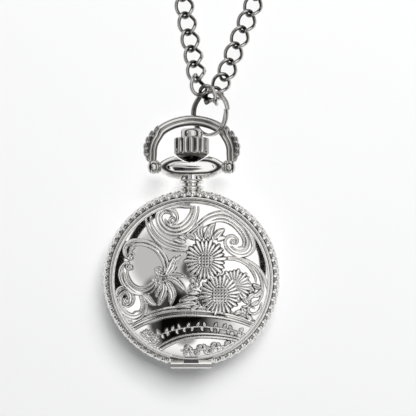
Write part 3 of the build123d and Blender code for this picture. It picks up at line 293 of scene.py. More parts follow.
packedFinishes = [
    (polished, "case_band back_cover lid bezel pendant crown bow_pins"),
    (chainPlate, "clasp_body clasp_lever clasp_end_ring"),
    (glass, "crystal"),
    (dialWhite, "dial"),
    (made["springSteel"], "bow_washers lid_hinge_pin lid_spring catch_spring rotor train_bridge battery"),
    (made["springSteel"], "bridge_screws battery_clamp stator quartz_can stem sliding_pinion push_sleeve"),
    (made["springSteel"], "crown_spring clasp_pin"),
    (made["movementBrass"], "hour_wheel cannon_pinion minute_wheel second_wheel third_wheel centre_wheel"),
    (made["movementBrass"], "drive_wheel main_plate"),
    (made["handBlack"], "hour_hand minute_hand second_hand"),
    (made["blackRubber"], "back_gasket detent_ring"),
    (made["holderPlastic"], "movement_holder"),
    (made["copperWire"], "drive_coil"),
    (made["boardGreen"], "circuit_board"),
]
for material, names in packedFinishes:
    for name in names.split():
        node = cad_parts[name]
        node.data.materials.clear()
        node.data.materials.append(material)
print("finishes are on the packed pieces")


# camera
camera = {"middle": (2.6, 11.0), "height": 105.5, "lens": 55.21, "sensor": 36, "nearest": 2}
lensData = bpy.data.cameras.new("photoCamera")
lensData.lens = camera["lens"]
lensData.sensor_width = camera["sensor"]
lensData.clip_start = camera["nearest"] * mm
eye = bpy.data.objects.new("photoCamera", lensData)
eye.location = (camera["middle"][0] * mm, camera["middle"][1] * mm, camera["height"] * mm)
bpy.context.scene.collection.objects.link(eye)
bpy.context.scene.camera = eye
print("camera is in place")


# neck chain
chain = {
    "pitch": 2.85,
    "halfLength": 1.78,
    "halfWidth": 1.38,
    "wire": 0.62,
    "twist": 45,
    "width": 3.0,
    "lookAhead": 0.7,        # a link lies along the chain between points this far before and after it
    "coilMiddle": (4.0, 78.0),
    "coilReach": 18.3,
    "coilStep": 1.8,
    "coilInner": 7.3,
    "coilStraight": 14.0,
    "coilParts": (6, 4),     # points lie a sixth of a straight side before its middle, a quarter after
    "coilEnd": 0.1,
    "low": 0.84,             # height of a strand on the floor, and of one on top of another
    "high": 2.79,
    "leftEnd": 1.7,
    "innerShade": (-0.125, 0.5),  # painted shade grows between these heights on the wire's inner side
    "endShade": (0.86, 0.96),     # and painted shade between these towards the link's ends, where it touches the next one
    "endShare": 0.75,
}
# the links that pass through the ring: middle, way along the chain, way up
ringLinks = [
    ((1.1, 30.6, 3.75), (0.2, -0.9, 0.35), (0.55, 0.4, 0.75)),
    ((2.85, 28.95, 3.65), (0.65, -0.7, -0.35), (0.5, 0.75, -0.45)),
    ((3.52, 29.15, 1.98), (0.57, 0.67, -0.47), (-0.15, 0.65, 0.75)),
    ((4.65, 31.25, 1.15), (0.52, 0.85, -0.1), (-0.15, 0.2, 0.97)),
]
leftRoute = [
    (0.67, 33.05, 2.6), (0.27, 35.7, 1.6), (-0.3, 38.4, 1.05), (-0.9, 41.7, 0.86), (-1.4, 45.0, 0.84),
    (-2.1, 49.4, 0.84), (-3.2, 51.6, 1.1), (-6.4, 54.9, 2.0), (-10.4, 59.4, 2.75), (-13.4, 63.8, 2.79),
    (-14.3, 67.6, 2.79),
]
rightRoute = [
    (5.78, 33.62, 0.94), (6.78, 36.25, 0.86), (7.75, 38.8, 0.84), (8.95, 41.6, 0.84), (10.15, 44.6, 0.84),
    (11.8, 49.2, 0.84), (13.4, 52.0, 0.84), (16.4, 56.0, 0.84), (19.4, 60.2, 0.84), (21.6, 64.6, 0.84),
    (22.3, 67.9, 0.84),
]


# an oval spiral from its outside in, as points of the chain's own line
def coilPoints(side, levels, perHalfTurn=8):
    mx, my = chain["coilMiddle"]
    before, after = chain["coilParts"]
    halfTurns = len(levels) - 1
    reaches = [chain["coilReach"] - k * chain["coilStep"] for k in range(halfTurns)] + [chain["coilInner"]]
    reachOut = 1 / math.cos(math.pi / perHalfTurn / 2)
    points = []
    for k in range(halfTurns):
        upper = 1 if k % 2 == 0 else -1
        way = side * upper
        y = my + upper * chain["coilStraight"] / 2
        start, end = mx + way * reaches[k], mx - way * reaches[k + 1]
        middle, radius = (start + end) / 2, abs(start - end) / 2
        points.append((start, my - upper * chain["coilStraight"] / before, levels[k]))
        points.append((start, my + upper * chain["coilStraight"] / after, levels[k]))
        for step in range(perHalfTurn):
            share = (step + 0.5) / perHalfTurn
            angle = math.pi * share
            z = levels[k] + (levels[k + 1] - levels[k]) * share
            x = middle + way * radius * reachOut * math.cos(angle)
            points.append((x, y + upper * radius * reachOut * math.sin(angle), z))
    points.append((end, y - upper * chain["coilEnd"], levels[-1]))
    return points


# the smooth line that a spline with these points follows, read as close points
def splineLine(name, points):
    curve = bpy.data.curves.new(name, "CURVE")
    curve.dimensions = "3D"
    spline = curve.splines.new("NURBS")
    spline.points.add(len(points) - 1)
    for point, where in zip(spline.points, points):
        point.co = (*where, 1)
    spline.order_u = 3
    spline.use_endpoint_u = True
    spline.resolution_u = 10
    return readCurve(curve)[0]


# one link at the origin: an oval of round wire, twisted so that it lies flat among others
def linkShape(steps=28, sides=10):
    t = np.arange(steps) / steps * fullTurn
    reach = chain["halfWidth"] * np.sin(t)
    roll = math.radians(chain["twist"]) * np.cos(t)
    line = np.c_[chain["halfLength"] * np.cos(t), reach * np.cos(roll), reach * np.sin(roll)]
    shape = tube(line, roundSection(chain["wire"] / 2, sides), unit(line), closed=True)
    # painted shade on the wire's inner side and at the link's ends, where the next link lies
    inner = ramp(-np.sin(np.arange(sides) * fullTurn / sides), *chain["innerShade"])
    ends = chain["endShare"] * ramp(np.abs(np.cos(t)), *chain["endShade"])
    return shape, np.maximum(inner[None], ends[:, None]).ravel()


def placedLink(shape, middle, along, up):
    verts, faces = shape
    x = unit(along)
    z = np.asarray(up, float)
    z = unit(z - z.dot(x) * x)
    y = np.cross(z, x)
    return np.asarray(middle) + verts @ np.array([x, y, z]), faces


def linksAlong(line, shape):
    reach = lineReach(line)[1]
    parts = []
    for s in np.arange(0, reach[-1], chain["pitch"]):
        near = [s - chain["lookAhead"], s, s + chain["lookAhead"]]
        before, here, after = np.array([np.interp(near, reach, line[:, k]) for k in range(3)]).T
        parts.append(placedLink(shape, here, after - before, (0, 0, 1)))
    return parts, reach[-1]


link, linkShade = linkShape()
chainPieces = []
leftLine = splineLine("leftLine", leftRoute + coilPoints(-1, [chain["high"]] * 6 + [chain["leftEnd"]]))
rightLine = splineLine("rightLine", rightRoute + coilPoints(1, [chain["low"]] * 6))
for name, line, farPiece, nodes in (
    ("neckChainLeft", leftLine, "clasp_body",
     ("chain_links_left", "chain_run_left", "chain_coil_upper")),
    ("neckChainRight", rightLine, "clasp_end_ring",
     ("chain_links_right", "chain_run_right", "chain_coil_lower")),
):
    parts, length = linksAlong(line, link)
    piece = newPiece(name, *joined(parts), chainPlate)
    tarnished(piece, np.tile(linkShade, len(parts)))
    chainPieces.append(piece)
    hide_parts(*nodes)
    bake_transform(piece)
    print(name, "links", len(parts), "length", round(length, 1))
ringBunch = newPiece("ringBunch", *joined([placedLink(link, *place) for place in ringLinks]), chainPlate)
tarnished(ringBunch, np.tile(linkShade, len(ringLinks)))
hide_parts("chain_links_ring")
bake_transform(ringBunch)


# split ring
splitRing = {
    "radius": 3.45, "wire": 0.52, "turnGap": 0.06, "sides": 14,
    "middle": (2.9, 26.2, 2.85), "tilt": 39, "turn": 7,
    "tipSteps": 6, "tipRadius": 0.25,  # the wire's ends are rounded over these steps to this share
    "valley": (0.6, 0.9),              # painted shade grows to full between the two turns
}


# the line of two turns that lie on each other, and the way up of its plane
def ringLine(count=240):
    rise = (splitRing["wire"] + splitRing["turnGap"]) / 2
    phi = np.linspace(0, 2 * fullTurn, count)
    half = np.minimum((phi // math.pi), 3)
    z = rise * (half - 2 + (1 - np.cos(phi - half * math.pi)) / 2)
    flat = np.c_[splitRing["radius"] * np.cos(phi), splitRing["radius"] * np.sin(phi), z]
    a, b = math.radians(-splitRing["tilt"]), math.radians(splitRing["turn"])
    tip = np.array([[math.cos(a), 0, math.sin(a)], [0, 1, 0], [-math.sin(a), 0, math.cos(a)]])
    turn = np.array([[math.cos(b), -math.sin(b), 0], [math.sin(b), math.cos(b), 0], [0, 0, 1]])
    return flat @ (turn @ tip).T + np.array(splitRing["middle"]), turn @ tip @ np.array([0, 0, 1.0])


line, ringUp = ringLine()
step = np.arange(len(line))
taper = np.clip(np.minimum(step, step[::-1]) / splitRing["tipSteps"], splitRing["tipRadius"], 1) ** 0.5
sections = roundSection(splitRing["wire"] / 2, splitRing["sides"])[None] * taper[:, None, None]
ringPiece = newPiece("splitRing", *tube(line, sections, np.tile(ringUp, (len(line), 1))), chainPlate)
around = np.arange(splitRing["sides"]) * fullTurn / splitRing["sides"]
turnWay = np.where(step < len(line) / 2, 1, -1)[:, None]
# painted shade on the ring's inner side and between its two turns
innerSide = np.clip(-np.cos(around) * 1.3 - 0.25, 0, 1)[None]
valley = ramp(np.sin(around)[None] * turnWay, *splitRing["valley"])
tarnished(ringPiece, np.maximum(innerSide, valley))
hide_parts("split_ring")
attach(ringPiece, "split_ring")
print("ring and chain are in place")


# front cover with its chased relief
cover = {
    "crest": 9.9,              # height of the dome
    "domeEdge": (11.2, 8.22),  # a point of the dome: radius and height
    "fieldRadius": 11.72,      # where the chased field meets the cove
    "edgeRadius": 12.3,
    "edgeHeight": 7.27,
    "bottom": 6.84,
    "stand": 0.03,             # how far the skin stands off the plain cover
    "cells": 380,
    "fade": (0.1, 0.35),       # the pattern fades out between these distances from the cove
    "hollow": (0.018, 0.063),  # drop below the surroundings where painted shade begins and where it is full
    "hollowReach": 5,          # how many cells away a raised form still counts
    "covePoint": (0.62, 0.38),  # the cove's curve passes here, as shares of the way in and up from the edge
    "edgeDrop": 0.02,          # how far the edge's corners lie below the cove and above the bottom
    "edgeLip": 0.05,
    # painted shade over the cove
    "coveShade": 0.16,
    "coveRings": 12,
    "skin": 0.12,              # the skin's under side: its depth, widest radius and highest point
    "underRadius": 12.2,
    "underHeight": 9.8,
}
# the pattern is laid out on a square grid: the cover's middle and the size of one square
layout = {"middle": (783, 786), "square": 0.01755}
domeDrop = cover["crest"] - cover["domeEdge"][1]
domeRadius = (cover["domeEdge"][0] ** 2 + domeDrop**2) / (2 * domeDrop)


def domeHeight(r):
    return cover["crest"] - domeRadius + np.sqrt(domeRadius**2 - r**2)


def onCover(points):
    p = np.asarray(points, float)
    return np.c_[p[:, 0] - layout["middle"][0], layout["middle"][1] - p[:, 1]] * layout["square"]


# a sheet of heights over the round field, with the forms that a chaser lays on it
class Relief:
    def __init__(self, x, y):
        self.x, self.y = x, y
        self.height = np.zeros_like(x)
        self.hollow = np.zeros_like(x)

    # for the cells near a line: distance from it and share along it
    def distance(self, line, width):
        low, high = line.min(0) - width, line.max(0) + width
        near = (self.x > low[0]) & (self.x < high[0]) & (self.y > low[1]) & (self.y < high[1])
        cells = np.nonzero(near)
        x, y = self.x[cells], self.y[cells]
        best = np.full(x.shape, 1e9)
        share = np.zeros_like(best)
        steps, reach = lineReach(line)
        for a, b, before, length in zip(line[:-1], line[1:], reach[:-1], steps):
            if length < 1e-9:
                continue
            along = (b - a) / length
            px, py = x - a[0], y - a[1]
            t = np.clip(px * along[0] + py * along[1], 0, length)
            d = np.hypot(px - along[0] * t, py - along[1] * t)
            nearer = d < best
            best = np.where(nearer, d, best)
            share = np.where(nearer, (before + t) / reach[-1], share)
        return cells, best, share

    # put a form on the sheet: over what lies there, or the higher of both
    def lay(self, cells, inside, value, over):
        spot = cells[0][inside], cells[1][inside]
        self.height[spot] = value[inside] if over else np.maximum(self.height[spot], value[inside])

    # a raised line with a broad top that thins towards its ends
    def stroke(self, points, width, lift, start=0.3, end=0.3):
        cells, d, s = self.distance(smoothLine(onCover(points)), width)
        w = width * (start + (1 - start) * ramp(s, 0, 0.25)) * (end + (1 - end) * ramp(1 - s, 0, 0.25))
        u = np.clip(d / w, 0, 1)
        self.lay(cells, u < 1, lift * (0.3 + 0.7 * np.sqrt(1 - u**4)), False)

    # a pointed leaf along a line, with a sunk midrib
    def leaf(self, points, width, lift, over=True, belly=0.45, groove=0.35):
        cells, d, s = self.distance(smoothLine(onCover(points)), width)
        grow = np.sin(ramp(s, 0, belly) * math.pi / 2)
        shrink = np.cos(ramp(s, belly, 1) * math.pi / 2)
        w = width * np.maximum(np.where(s < belly, grow, shrink) ** 0.8, 0.05)
        u = np.clip(d / w, 0, 1)
        midrib = 1 - groove * np.exp(-((u / 0.2) ** 2))
        self.lay(cells, u < 1, lift * (0.4 + 0.6 * np.sqrt(1 - u**3)) * midrib, over)

    def bead(self, where, radius, lift):
        c = onCover([where])[0]
        cells = np.nonzero(np.hypot(self.x - c[0], self.y - c[1]) < radius)
        d = np.hypot(self.x[cells] - c[0], self.y[cells] - c[1]) / radius
        self.lay(cells, np.ones(len(d), bool), lift * np.sqrt(1 - d**2), True)

    # a daisy: ridged petals round a domed disc, which may be hatched with studs
    def flower(self, where, reach, disc, petals, lift, turn, hatch=0.0):
        c = onCover([where])[0]
        reach, disc = reach * layout["square"], disc * layout["square"]
        px, py = self.x - c[0], self.y - c[1]
        r = np.hypot(px, py)
        cells = np.nonzero(r < reach)
        r, x, y = r[cells], px[cells], py[cells]
        count = (np.arctan2(y, x) + turn) * petals / fullTurn
        number = np.floor(count)
        share = r / (reach * (0.93 + 0.07 * np.cos(number * 2.4)))  # petals of slightly unlike length
        w = 0.5 * np.sqrt(np.clip(1 - ramp(share, 0.72, 1) ** 2, 0, 1)) * (0.82 + 0.18 * share)
        u = np.abs(count - number - 0.5) / np.maximum(w, 1e-3)
        petal = lift * (0.5 + 0.5 * np.sqrt(np.clip(1 - u**4, 0, 1)))
        petal = petal * (0.8 + 0.2 * np.sin(np.clip(share, 0, 1) * math.pi))
        inside = np.where(u < 1, share < 1, share < 0.85)
        self.lay(cells, inside, np.where(u < 1, petal, 0.0), True)
        q = r / disc
        dome = lift * (0.75 + 0.55 * np.sqrt(np.clip(1 - q**2, 0, 1)))
        if hatch:
            studs = np.cos((x + y) * fullTurn / hatch) * np.cos((x - y) * fullTurn / hatch)
            dome = dome + 0.10 * studs
            # painted shade between the studs
            self.hollow[cells] = np.where(q < 1, np.clip(-studs * 1.6 - 0.45, 0, 1), self.hollow[cells])
        self.lay(cells, q < 1, dome, True)

    def soften(self):
        h = self.height
        h[1:-1] = (h[:-2] + 2 * h[1:-1] + h[2:]) / 4
        h[:, 1:-1] = (h[:, :-2] + 2 * h[:, 1:-1] + h[:, 2:]) / 4


# a square of cells pressed to a disc of radius 1
def roundSheet(cells):
    a, b = np.meshgrid(np.linspace(-1, 1, cells), np.linspace(-1, 1, cells), indexing="ij")
    wide = np.abs(a) > np.abs(b)
    safeA, safeB = np.where(wide, a, 1), np.where(wide | (b == 0), 1, b)
    r = np.where(wide, a, b)
    phi = np.where(wide, math.pi / 4 * b / safeA, math.pi / 2 - math.pi / 4 * a / safeB)
    return r * np.cos(phi), r * np.sin(phi)


cells = cover["cells"]
discX, discY = roundSheet(cells)
relief = Relief(discX * cover["fieldRadius"], discY * cover["fieldRadius"])
scroll = {"width": 0.225, "lift": 0.24}


def scrollLines(*lines, **given):
    for line in lines:
        relief.stroke(line, **{**scroll, **given})


# upper left scroll: three lines that wind into one curl
scrollLines(
    [(848, 150), (842, 215), (805, 300), (735, 360), (650, 385), (565, 362), (512, 310), (492, 245),
     (510, 188), (562, 163), (622, 175), (660, 212), (668, 255), (648, 288), (612, 296), (590, 272)],
    [(815, 148), (808, 210), (772, 285), (712, 332), (640, 352), (578, 330), (535, 288), (520, 240),
     (538, 205), (575, 196), (610, 208), (622, 232)],
    [(788, 150), (782, 205), (748, 262), (698, 305), (640, 320), (590, 300), (560, 262)],
    [(500, 200), (540, 168), (600, 150), (680, 142), (760, 150), (810, 152)],
)
relief.bead((622, 262), 0.5, 0.42)
# left lines, running under the scroll to the flowers
scrollLines(
    [(393, 262), (416, 340), (468, 418), (543, 478), (635, 512), (745, 528)],
    [(434, 240), (450, 318), (502, 388), (577, 440), (667, 472), (745, 486)],
    width=0.23,
)
relief.leaf([(745, 450), (700, 445), (655, 432), (625, 440)], 0.32, 0.3)
relief.leaf([(740, 430), (705, 410), (672, 405)], 0.22, 0.28)
# right scroll: a long ribbon over the flowers that winds into a curl
scrollLines(
    [(700, 440), (760, 370), (835, 305), (915, 240), (990, 208), (1060, 200), (1140, 228), (1215, 285),
     (1275, 350), (1312, 430), (1322, 500), (1290, 550), (1232, 572), (1160, 558), (1105, 520),
     (1078, 470), (1085, 425), (1120, 400), (1160, 405), (1184, 435), (1172, 468), (1140, 470)],
    [(745, 425), (800, 370), (860, 320), (930, 268), (1000, 240), (1065, 238), (1130, 264), (1198, 318),
     (1248, 380), (1272, 440), (1264, 500), (1225, 530), (1172, 522), (1130, 490)],
    [(830, 372), (885, 322), (955, 282), (1020, 266), (1080, 272), (1140, 300), (1190, 348), (1230, 402),
     (1243, 455), (1230, 492), (1195, 500)],
)
relief.bead((1146, 452), 0.42, 0.4)
relief.stroke([(730, 398), (790, 345), (850, 305)], width=0.15, lift=0.3)
# blank cartouche and its two C scrolls
scrollLines(
    [(288, 585), (262, 600), (228, 585), (206, 545), (214, 492), (262, 452), (335, 440), (415, 450),
     (488, 490), (545, 545), (582, 610), (592, 672), (578, 728), (550, 738)],
    [(296, 560), (270, 545), (262, 510), (300, 478), (360, 472), (425, 488), (488, 525), (532, 580),
     (556, 640), (560, 700), (538, 728)],
    [(550, 738), (512, 730), (490, 705), (496, 680), (522, 676), (542, 698)],
    [(268, 690), (240, 690), (226, 660), (246, 632), (214, 640), (182, 682), (172, 745), (198, 815),
     (250, 868), (315, 895), (392, 892), (455, 862), (505, 812), (522, 768), (505, 745)],
    [(205, 720), (212, 770), (240, 822), (290, 862), (352, 882), (418, 868), (468, 828), (490, 785),
     (478, 765), (462, 775), (466, 795)],
    width=0.24, lift=0.27,
)
scrollLines(
    [(235, 700), (240, 740), (262, 790), (300, 828), (355, 845), (412, 832), (452, 800)],
    [(300, 500), (270, 520), (250, 560)],
    width=0.14, lift=0.26,
)
relief.bead((262, 588), 0.42, 0.42)
relief.bead((262, 672), 0.42, 0.42)
relief.bead((512, 700), 0.36, 0.4)
relief.bead((480, 775), 0.36, 0.4)
# leaves that spring from the cartouche
leafRows = [
    ([(560, 745), (600, 680), (625, 620), (655, 572)], 0.55),
    ([(575, 740), (630, 680), (660, 610), (702, 562)], 0.5),
    ([(570, 752), (640, 735), (700, 735), (738, 745)], 0.5),
    ([(575, 765), (640, 770), (700, 820), (748, 882)], 0.55),
    ([(565, 780), (600, 830), (625, 900), (612, 985)], 0.62),
    ([(545, 790), (560, 850), (535, 930), (512, 992)], 0.6),
    ([(530, 790), (520, 840), (500, 880), (492, 920)], 0.4),
    ([(370, 905), (410, 930), (440, 965), (482, 995)], 0.5),
]
for line, width in leafRows:
    relief.leaf(line, width * 0.78, 0.34)
# lower left scroll
scrollLines(
    [(372, 912), (398, 980), (392, 1050), (355, 1105), (298, 1132), (232, 1120), (170, 1072), (138, 1000),
     (133, 920), (160, 862), (212, 845), (262, 875), (288, 930), (275, 985), (235, 1012), (200, 990),
     (200, 950)],
    [(345, 925), (366, 985), (356, 1040), (312, 1078), (250, 1078), (200, 1040), (172, 985), (168, 930),
     (192, 892), (228, 895), (248, 930), (238, 962)],
    [(330, 1050), (285, 1078)],
    [(150, 1090), (200, 1130), (262, 1150), (330, 1130)],
    width=0.19,
)
relief.bead((226, 965), 0.42, 0.4)
# vine at the right with small leaves
scrollLines(
    [(1095, 582), (1180, 582), (1270, 612), (1350, 668), (1408, 745), (1440, 830), (1452, 920),
     (1436, 1010), (1400, 1080)],
    [(1095, 604), (1175, 606), (1248, 638), (1302, 690), (1338, 760), (1345, 800)],
    [(1290, 640), (1345, 690), (1385, 760), (1402, 850), (1392, 930), (1352, 1000)],
    [(1225, 1005), (1260, 1010), (1290, 975), (1290, 930)],
    [(1392, 985), (1380, 1040), (1340, 1075), (1295, 1070), (1275, 1035), (1300, 1012), (1330, 1030)],
    width=0.16,
)
vineLeaves = [
    ([(1250, 860), (1290, 850), (1335, 880)], 0.4), ([(1345, 900), (1300, 920), (1270, 960)], 0.42),
    ([(1238, 905), (1250, 950), (1285, 985)], 0.38), ([(1392, 850), (1350, 840), (1318, 812)], 0.36),
    ([(1330, 930), (1372, 900), (1392, 860)], 0.36), ([(1215, 1020), (1245, 1045), (1250, 1080)], 0.36),
    ([(1160, 1075), (1200, 1055), (1240, 1062)], 0.36), ([(1262, 1080), (1290, 1110), (1300, 1150)], 0.3),
    ([(1370, 960), (1345, 985), (1300, 1000)], 0.32), ([(1230, 780), (1270, 800), (1290, 840)], 0.34),
]
for line, width in vineLeaves:
    relief.leaf(line, width, 0.38)
# leaves above and below the flowers
bladeRows = [
    ([(880, 430), (860, 360), (885, 290)], 0.5), ([(945, 430), (950, 350), (992, 285)], 0.55),
    ([(985, 430), (1020, 380), (1075, 342)], 0.5), ([(820, 430), (790, 400), (745, 392)], 0.45),
    ([(905, 430), (925, 370), (935, 330)], 0.35), ([(1010, 440), (1040, 420), (1085, 415)], 0.35),
    ([(860, 925), (780, 930), (690, 955)], 0.38), ([(850, 968), (750, 980), (652, 1005)], 0.42),
    ([(870, 885), (810, 885), (755, 890)], 0.3), ([(862, 990), (820, 1005), (775, 1030)], 0.3),
]
for line, width in bladeRows:
    relief.leaf(line, width, 0.4)
for where, size in (((800, 778), 0.42), ((835, 812), 0.45), ((792, 830), 0.38), ((853, 776), 0.32)):
    relief.bead(where, size, 0.36)
# daisies: middle, reach, disc and petals
relief.flower((1160, 828), 152, 20, 24, lift=0.34, turn=0.1)
relief.flower((908, 602), 186, 70, 26, lift=0.5, turn=0.06, hatch=0.95)
relief.flower((1034, 900), 184, 80, 26, lift=0.52, turn=0.0, hatch=0.95)
# lower bands: two pairs of lines with a sunk strip of plants between them
upperBand = [
    (238, 1195), (330, 1140), (430, 1092), (560, 1052), (700, 1035), (860, 1038), (1040, 1058), (1210, 1105),
    (1375, 1180),
]
lowerBand = [(470, 1392), (560, 1325), (690, 1266), (850, 1240), (1010, 1248), (1150, 1275), (1275, 1322)]


def shifted(points, dx, dy):
    return [(x + dx, y + dy) for x, y in points]


upperEdge = shifted(upperBand, 8, 42)
scrollLines(upperBand, upperEdge, width=0.2, lift=0.34, start=0.7, end=0.7)
scrollLines(lowerBand, shifted(lowerBand, 10, 30), width=0.17, lift=0.3, start=0.7, end=0.7)
scrollLines(shifted(upperBand, -4, -26), width=0.09, lift=0.14)
relief.flower((402, 1275), 66, 20, 12, lift=0.34, turn=0.2)
relief.flower((470, 1305), 48, 16, 10, lift=0.3, turn=0.4)
stripStem = [(500, 1262), (600, 1222), (720, 1190), (860, 1178), (1000, 1190), (1130, 1215), (1260, 1260)]
strip = {
    "leaves": 22, "beads": 5, "firstBead": 8, "beadStep": 13,
    # its painted shade: distance from the bands, widths over which it fades out, and the height below which
    # it lies
    "inset": 0.15, "edge": 0.2, "leftFade": 1.2, "rightFade": 6.5, "overrun": 0.02, "lowest": 0.1,
}
relief.stroke(stripStem, width=0.12, lift=0.24)
stemLine = smoothLine(stripStem, 12)
for k in range(strip["leaves"]):  # small leaves above and below the stem by turns
    x, y = stemLine[int((k + 0.5) / strip["leaves"] * (len(stemLine) - 1))]
    up, tall = (-1, 44) if k % 2 == 0 else (1, 38)
    lean = 22 if k % 3 else -14
    relief.leaf([(x, y), (x + lean * 0.5, y + up * 26), (x + lean, y + up * tall)], 0.26, 0.34, over=False)
for spot in stemLine[strip["firstBead"]::strip["beadStep"]][:strip["beads"]]:
    relief.bead(spot, 0.2, 0.36)
# leaves in the lowest field
sprayStem = [(700, 1395), (790, 1400), (880, 1380), (980, 1370), (1080, 1360), (1185, 1345)]
sprayLeaves = [
    (730, 1395), (780, 1400), (840, 1392), (900, 1378), (960, 1372), (1020, 1366), (1080, 1360), (1140, 1352),
]
relief.stroke(sprayStem, width=0.12, lift=0.26)
for k, (x, y) in enumerate(sprayLeaves):
    up = -1 if k % 2 == 0 else 1
    relief.leaf([(x, y), (x + 18, y + up * 28), (x + 42, y + up * 46)], 0.34, 0.34, over=False)
    relief.leaf([(x + 10, y), (x + 2, y - up * 22), (x - 8, y - up * 40)], 0.26, 0.3, over=False)
relief.bead((930, 1372), 0.32, 0.36)

# hollows: cells that lie close under a raised neighbour get painted shade
raised = relief.height
x, y = relief.x, relief.y
fieldR = np.hypot(x, y)
relief.soften()
raised *= ramp(cover["fieldRadius"] - fieldR, *cover["fade"])
wide = raised.copy()
for _ in range(cover["hollowReach"]):
    middle = wide[1:-1, 1:-1]
    wide[1:-1, 1:-1] = (middle + wide[:-2, 1:-1] + wide[2:, 1:-1] + wide[1:-1, :-2] + wide[1:-1, 2:]) / 5
hollow = np.maximum(ramp(wide - raised, *cover["hollow"]), relief.hollow)
# the strip between the two bands is sunk and gets painted shade, which fades out at its ends
bandTop, bandLow = smoothLine(onCover(upperEdge)), smoothLine(onCover(lowerBand))
left, right = bandLow[0, 0], bandLow[-1, 0]
upperY = np.interp(x, bandTop[:, 0], bandTop[:, 1])
lowerY = np.interp(x, bandLow[:, 0], bandLow[:, 1], left=-99, right=-99)
inStrip = (y < upperY - strip["inset"]) & (y > lowerY + strip["inset"])
inStrip &= (x > left * (1 - strip["overrun"])) & (x < right * (1 + strip["overrun"]))
acrossWash = ramp(np.minimum(upperY - y, y - lowerY), 0, strip["edge"])
alongWash = ramp(x - left, 0, strip["leftFade"]) * ramp(right - x, 0, strip["rightFade"])
hollow = np.maximum(hollow, np.where(inStrip & (raised < strip["lowest"]), acrossWash * alongWash, 0))

top = np.c_[x.ravel(), y.ravel(), (domeHeight(fieldR) + cover["stand"] + raised).ravel()]
number = np.arange(cells**2).reshape(cells, cells)
border = np.r_[number[:-1, 0], number[-1, :-1], number[:0:-1, -1], number[0, :0:-1]]
angles = np.arctan2(top[border, 1], top[border, 0])


# the hollow ring between the field and the edge, then the edge itself, as (radius, height)
def coveProfile(steps=14):
    wide, low, stand = cover["edgeRadius"], cover["edgeHeight"], cover["stand"]
    a, c = np.array([cover["fieldRadius"], domeHeight(cover["fieldRadius"])]), np.array([wide, low])
    b = c + (a - c) * cover["covePoint"]
    t = np.linspace(0, 1, steps + 1)[1:, None]
    bend = 2 * b - (a + c) / 2
    curve = (1 - t) ** 2 * a + 2 * t * (1 - t) * bend + t**2 * c
    curve[:, 1] += stand
    bottom, outer = cover["bottom"], wide + stand
    edge = [(outer, low - cover["edgeDrop"]), (outer, bottom + cover["edgeLip"]), (wide, bottom)]
    return np.vstack([curve, edge])


rings = [np.c_[r * np.cos(angles), r * np.sin(angles), np.full(len(angles), z)] for r, z in coveProfile()]
sheet = np.vstack([top] + rings)
under = sheet.copy()
radius = np.hypot(under[:, 0], under[:, 1])
under[:, :2] *= np.minimum(1, cover["underRadius"] / np.maximum(radius, 1e-6))[:, None]
inField = radius < cover["fieldRadius"] + 1e-6
plain = np.where(inField, domeHeight(np.minimum(radius, cover["fieldRadius"])), under[:, 2])
under[:, 2] = np.minimum(plain - cover["skin"], cover["underHeight"])
under[len(top):, 2] = np.maximum(under[len(top):, 2], cover["bottom"] + cover["stand"])
count = len(border)
ringIndex = [border] + [len(top) + k * count + np.arange(count) for k in range(len(rings))]
faces = gridFaces(cells, cells, wrapColumns=False)
for a, b in zip(ringIndex, ringIndex[1:]):
    faces.extend(np.stack([a, np.roll(a, -1), np.roll(b, -1), b], -1).tolist())
total = len(sheet)
faces = [f[::-1] for f in faces]
underFaces = [[k + total for k in f[::-1]] for f in faces]
last = ringIndex[-1]
seam = np.stack([last, last + total, np.roll(last, -1) + total, np.roll(last, -1)], -1).tolist()
coverPiece = newPiece("coverRelief", np.vstack([sheet, under]), faces + underFaces + seam, coverMetal)
shade = np.zeros(2 * total)
# painted shade in the field's hollows and a little over the cove
shade[:len(top)] = hollow.ravel()
shade[len(top):len(top) + count * cover["coveRings"]] = cover["coveShade"]
tarnished(coverPiece, shade)
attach(coverPiece, "lid")
print("front cover relief: cells", cells**2, "highest", round(float(raised.max()), 2))


# rim with a running leaf
rim = {
    "middleRadius": 11.25, "sectionRadius": 2.5, "height": 4.8, "halfAngle": 52.6, "innerRadius": 12.4,
    "leaves": 66, "lift": 0.26, "stand": 0.03, "skin": 0.15,
    "hinge": (3.4, 3.7),     # half width of the plain place at the hinge, and where the pattern is full again
    "hingeDepth": 0.08,
    "repeatOut": 2,          # a repeat is measured this far outside middleRadius
    "edgeLine": (0.95, 0.04, 0.6),  # the line along each edge: place across, half width and height share
    "lowest": 0.25, "fullFrom": 0.45,  # the pattern is lower at the band's widest place
    # painted shade between the leaves: how far across the band it reaches, its strength, and the pattern
    # height where it has faded out
    "shadeEdge": 0.97,
    "paintedShade": 0.6, "shadeBelow": 0.3,
}
# leaves of one repeat: place along it, place across the band (-1 low edge, 1 inner edge), lean, half length
# and half width
rimLeafRows = [
    (0.25, 0.66, 0.75, 0.56, 0.25), (0.78, 0.60, -0.75, 0.46, 0.24), (0.50, 0.26, -0.8, 0.50, 0.24),
    (0.03, 0.24, 0.7, 0.34, 0.20), (0.25, -0.66, -0.75, 0.56, 0.25), (0.78, -0.60, 0.75, 0.46, 0.24),
    (0.50, -0.26, 0.8, 0.50, 0.24), (0.03, -0.24, -0.7, 0.34, 0.20),
]


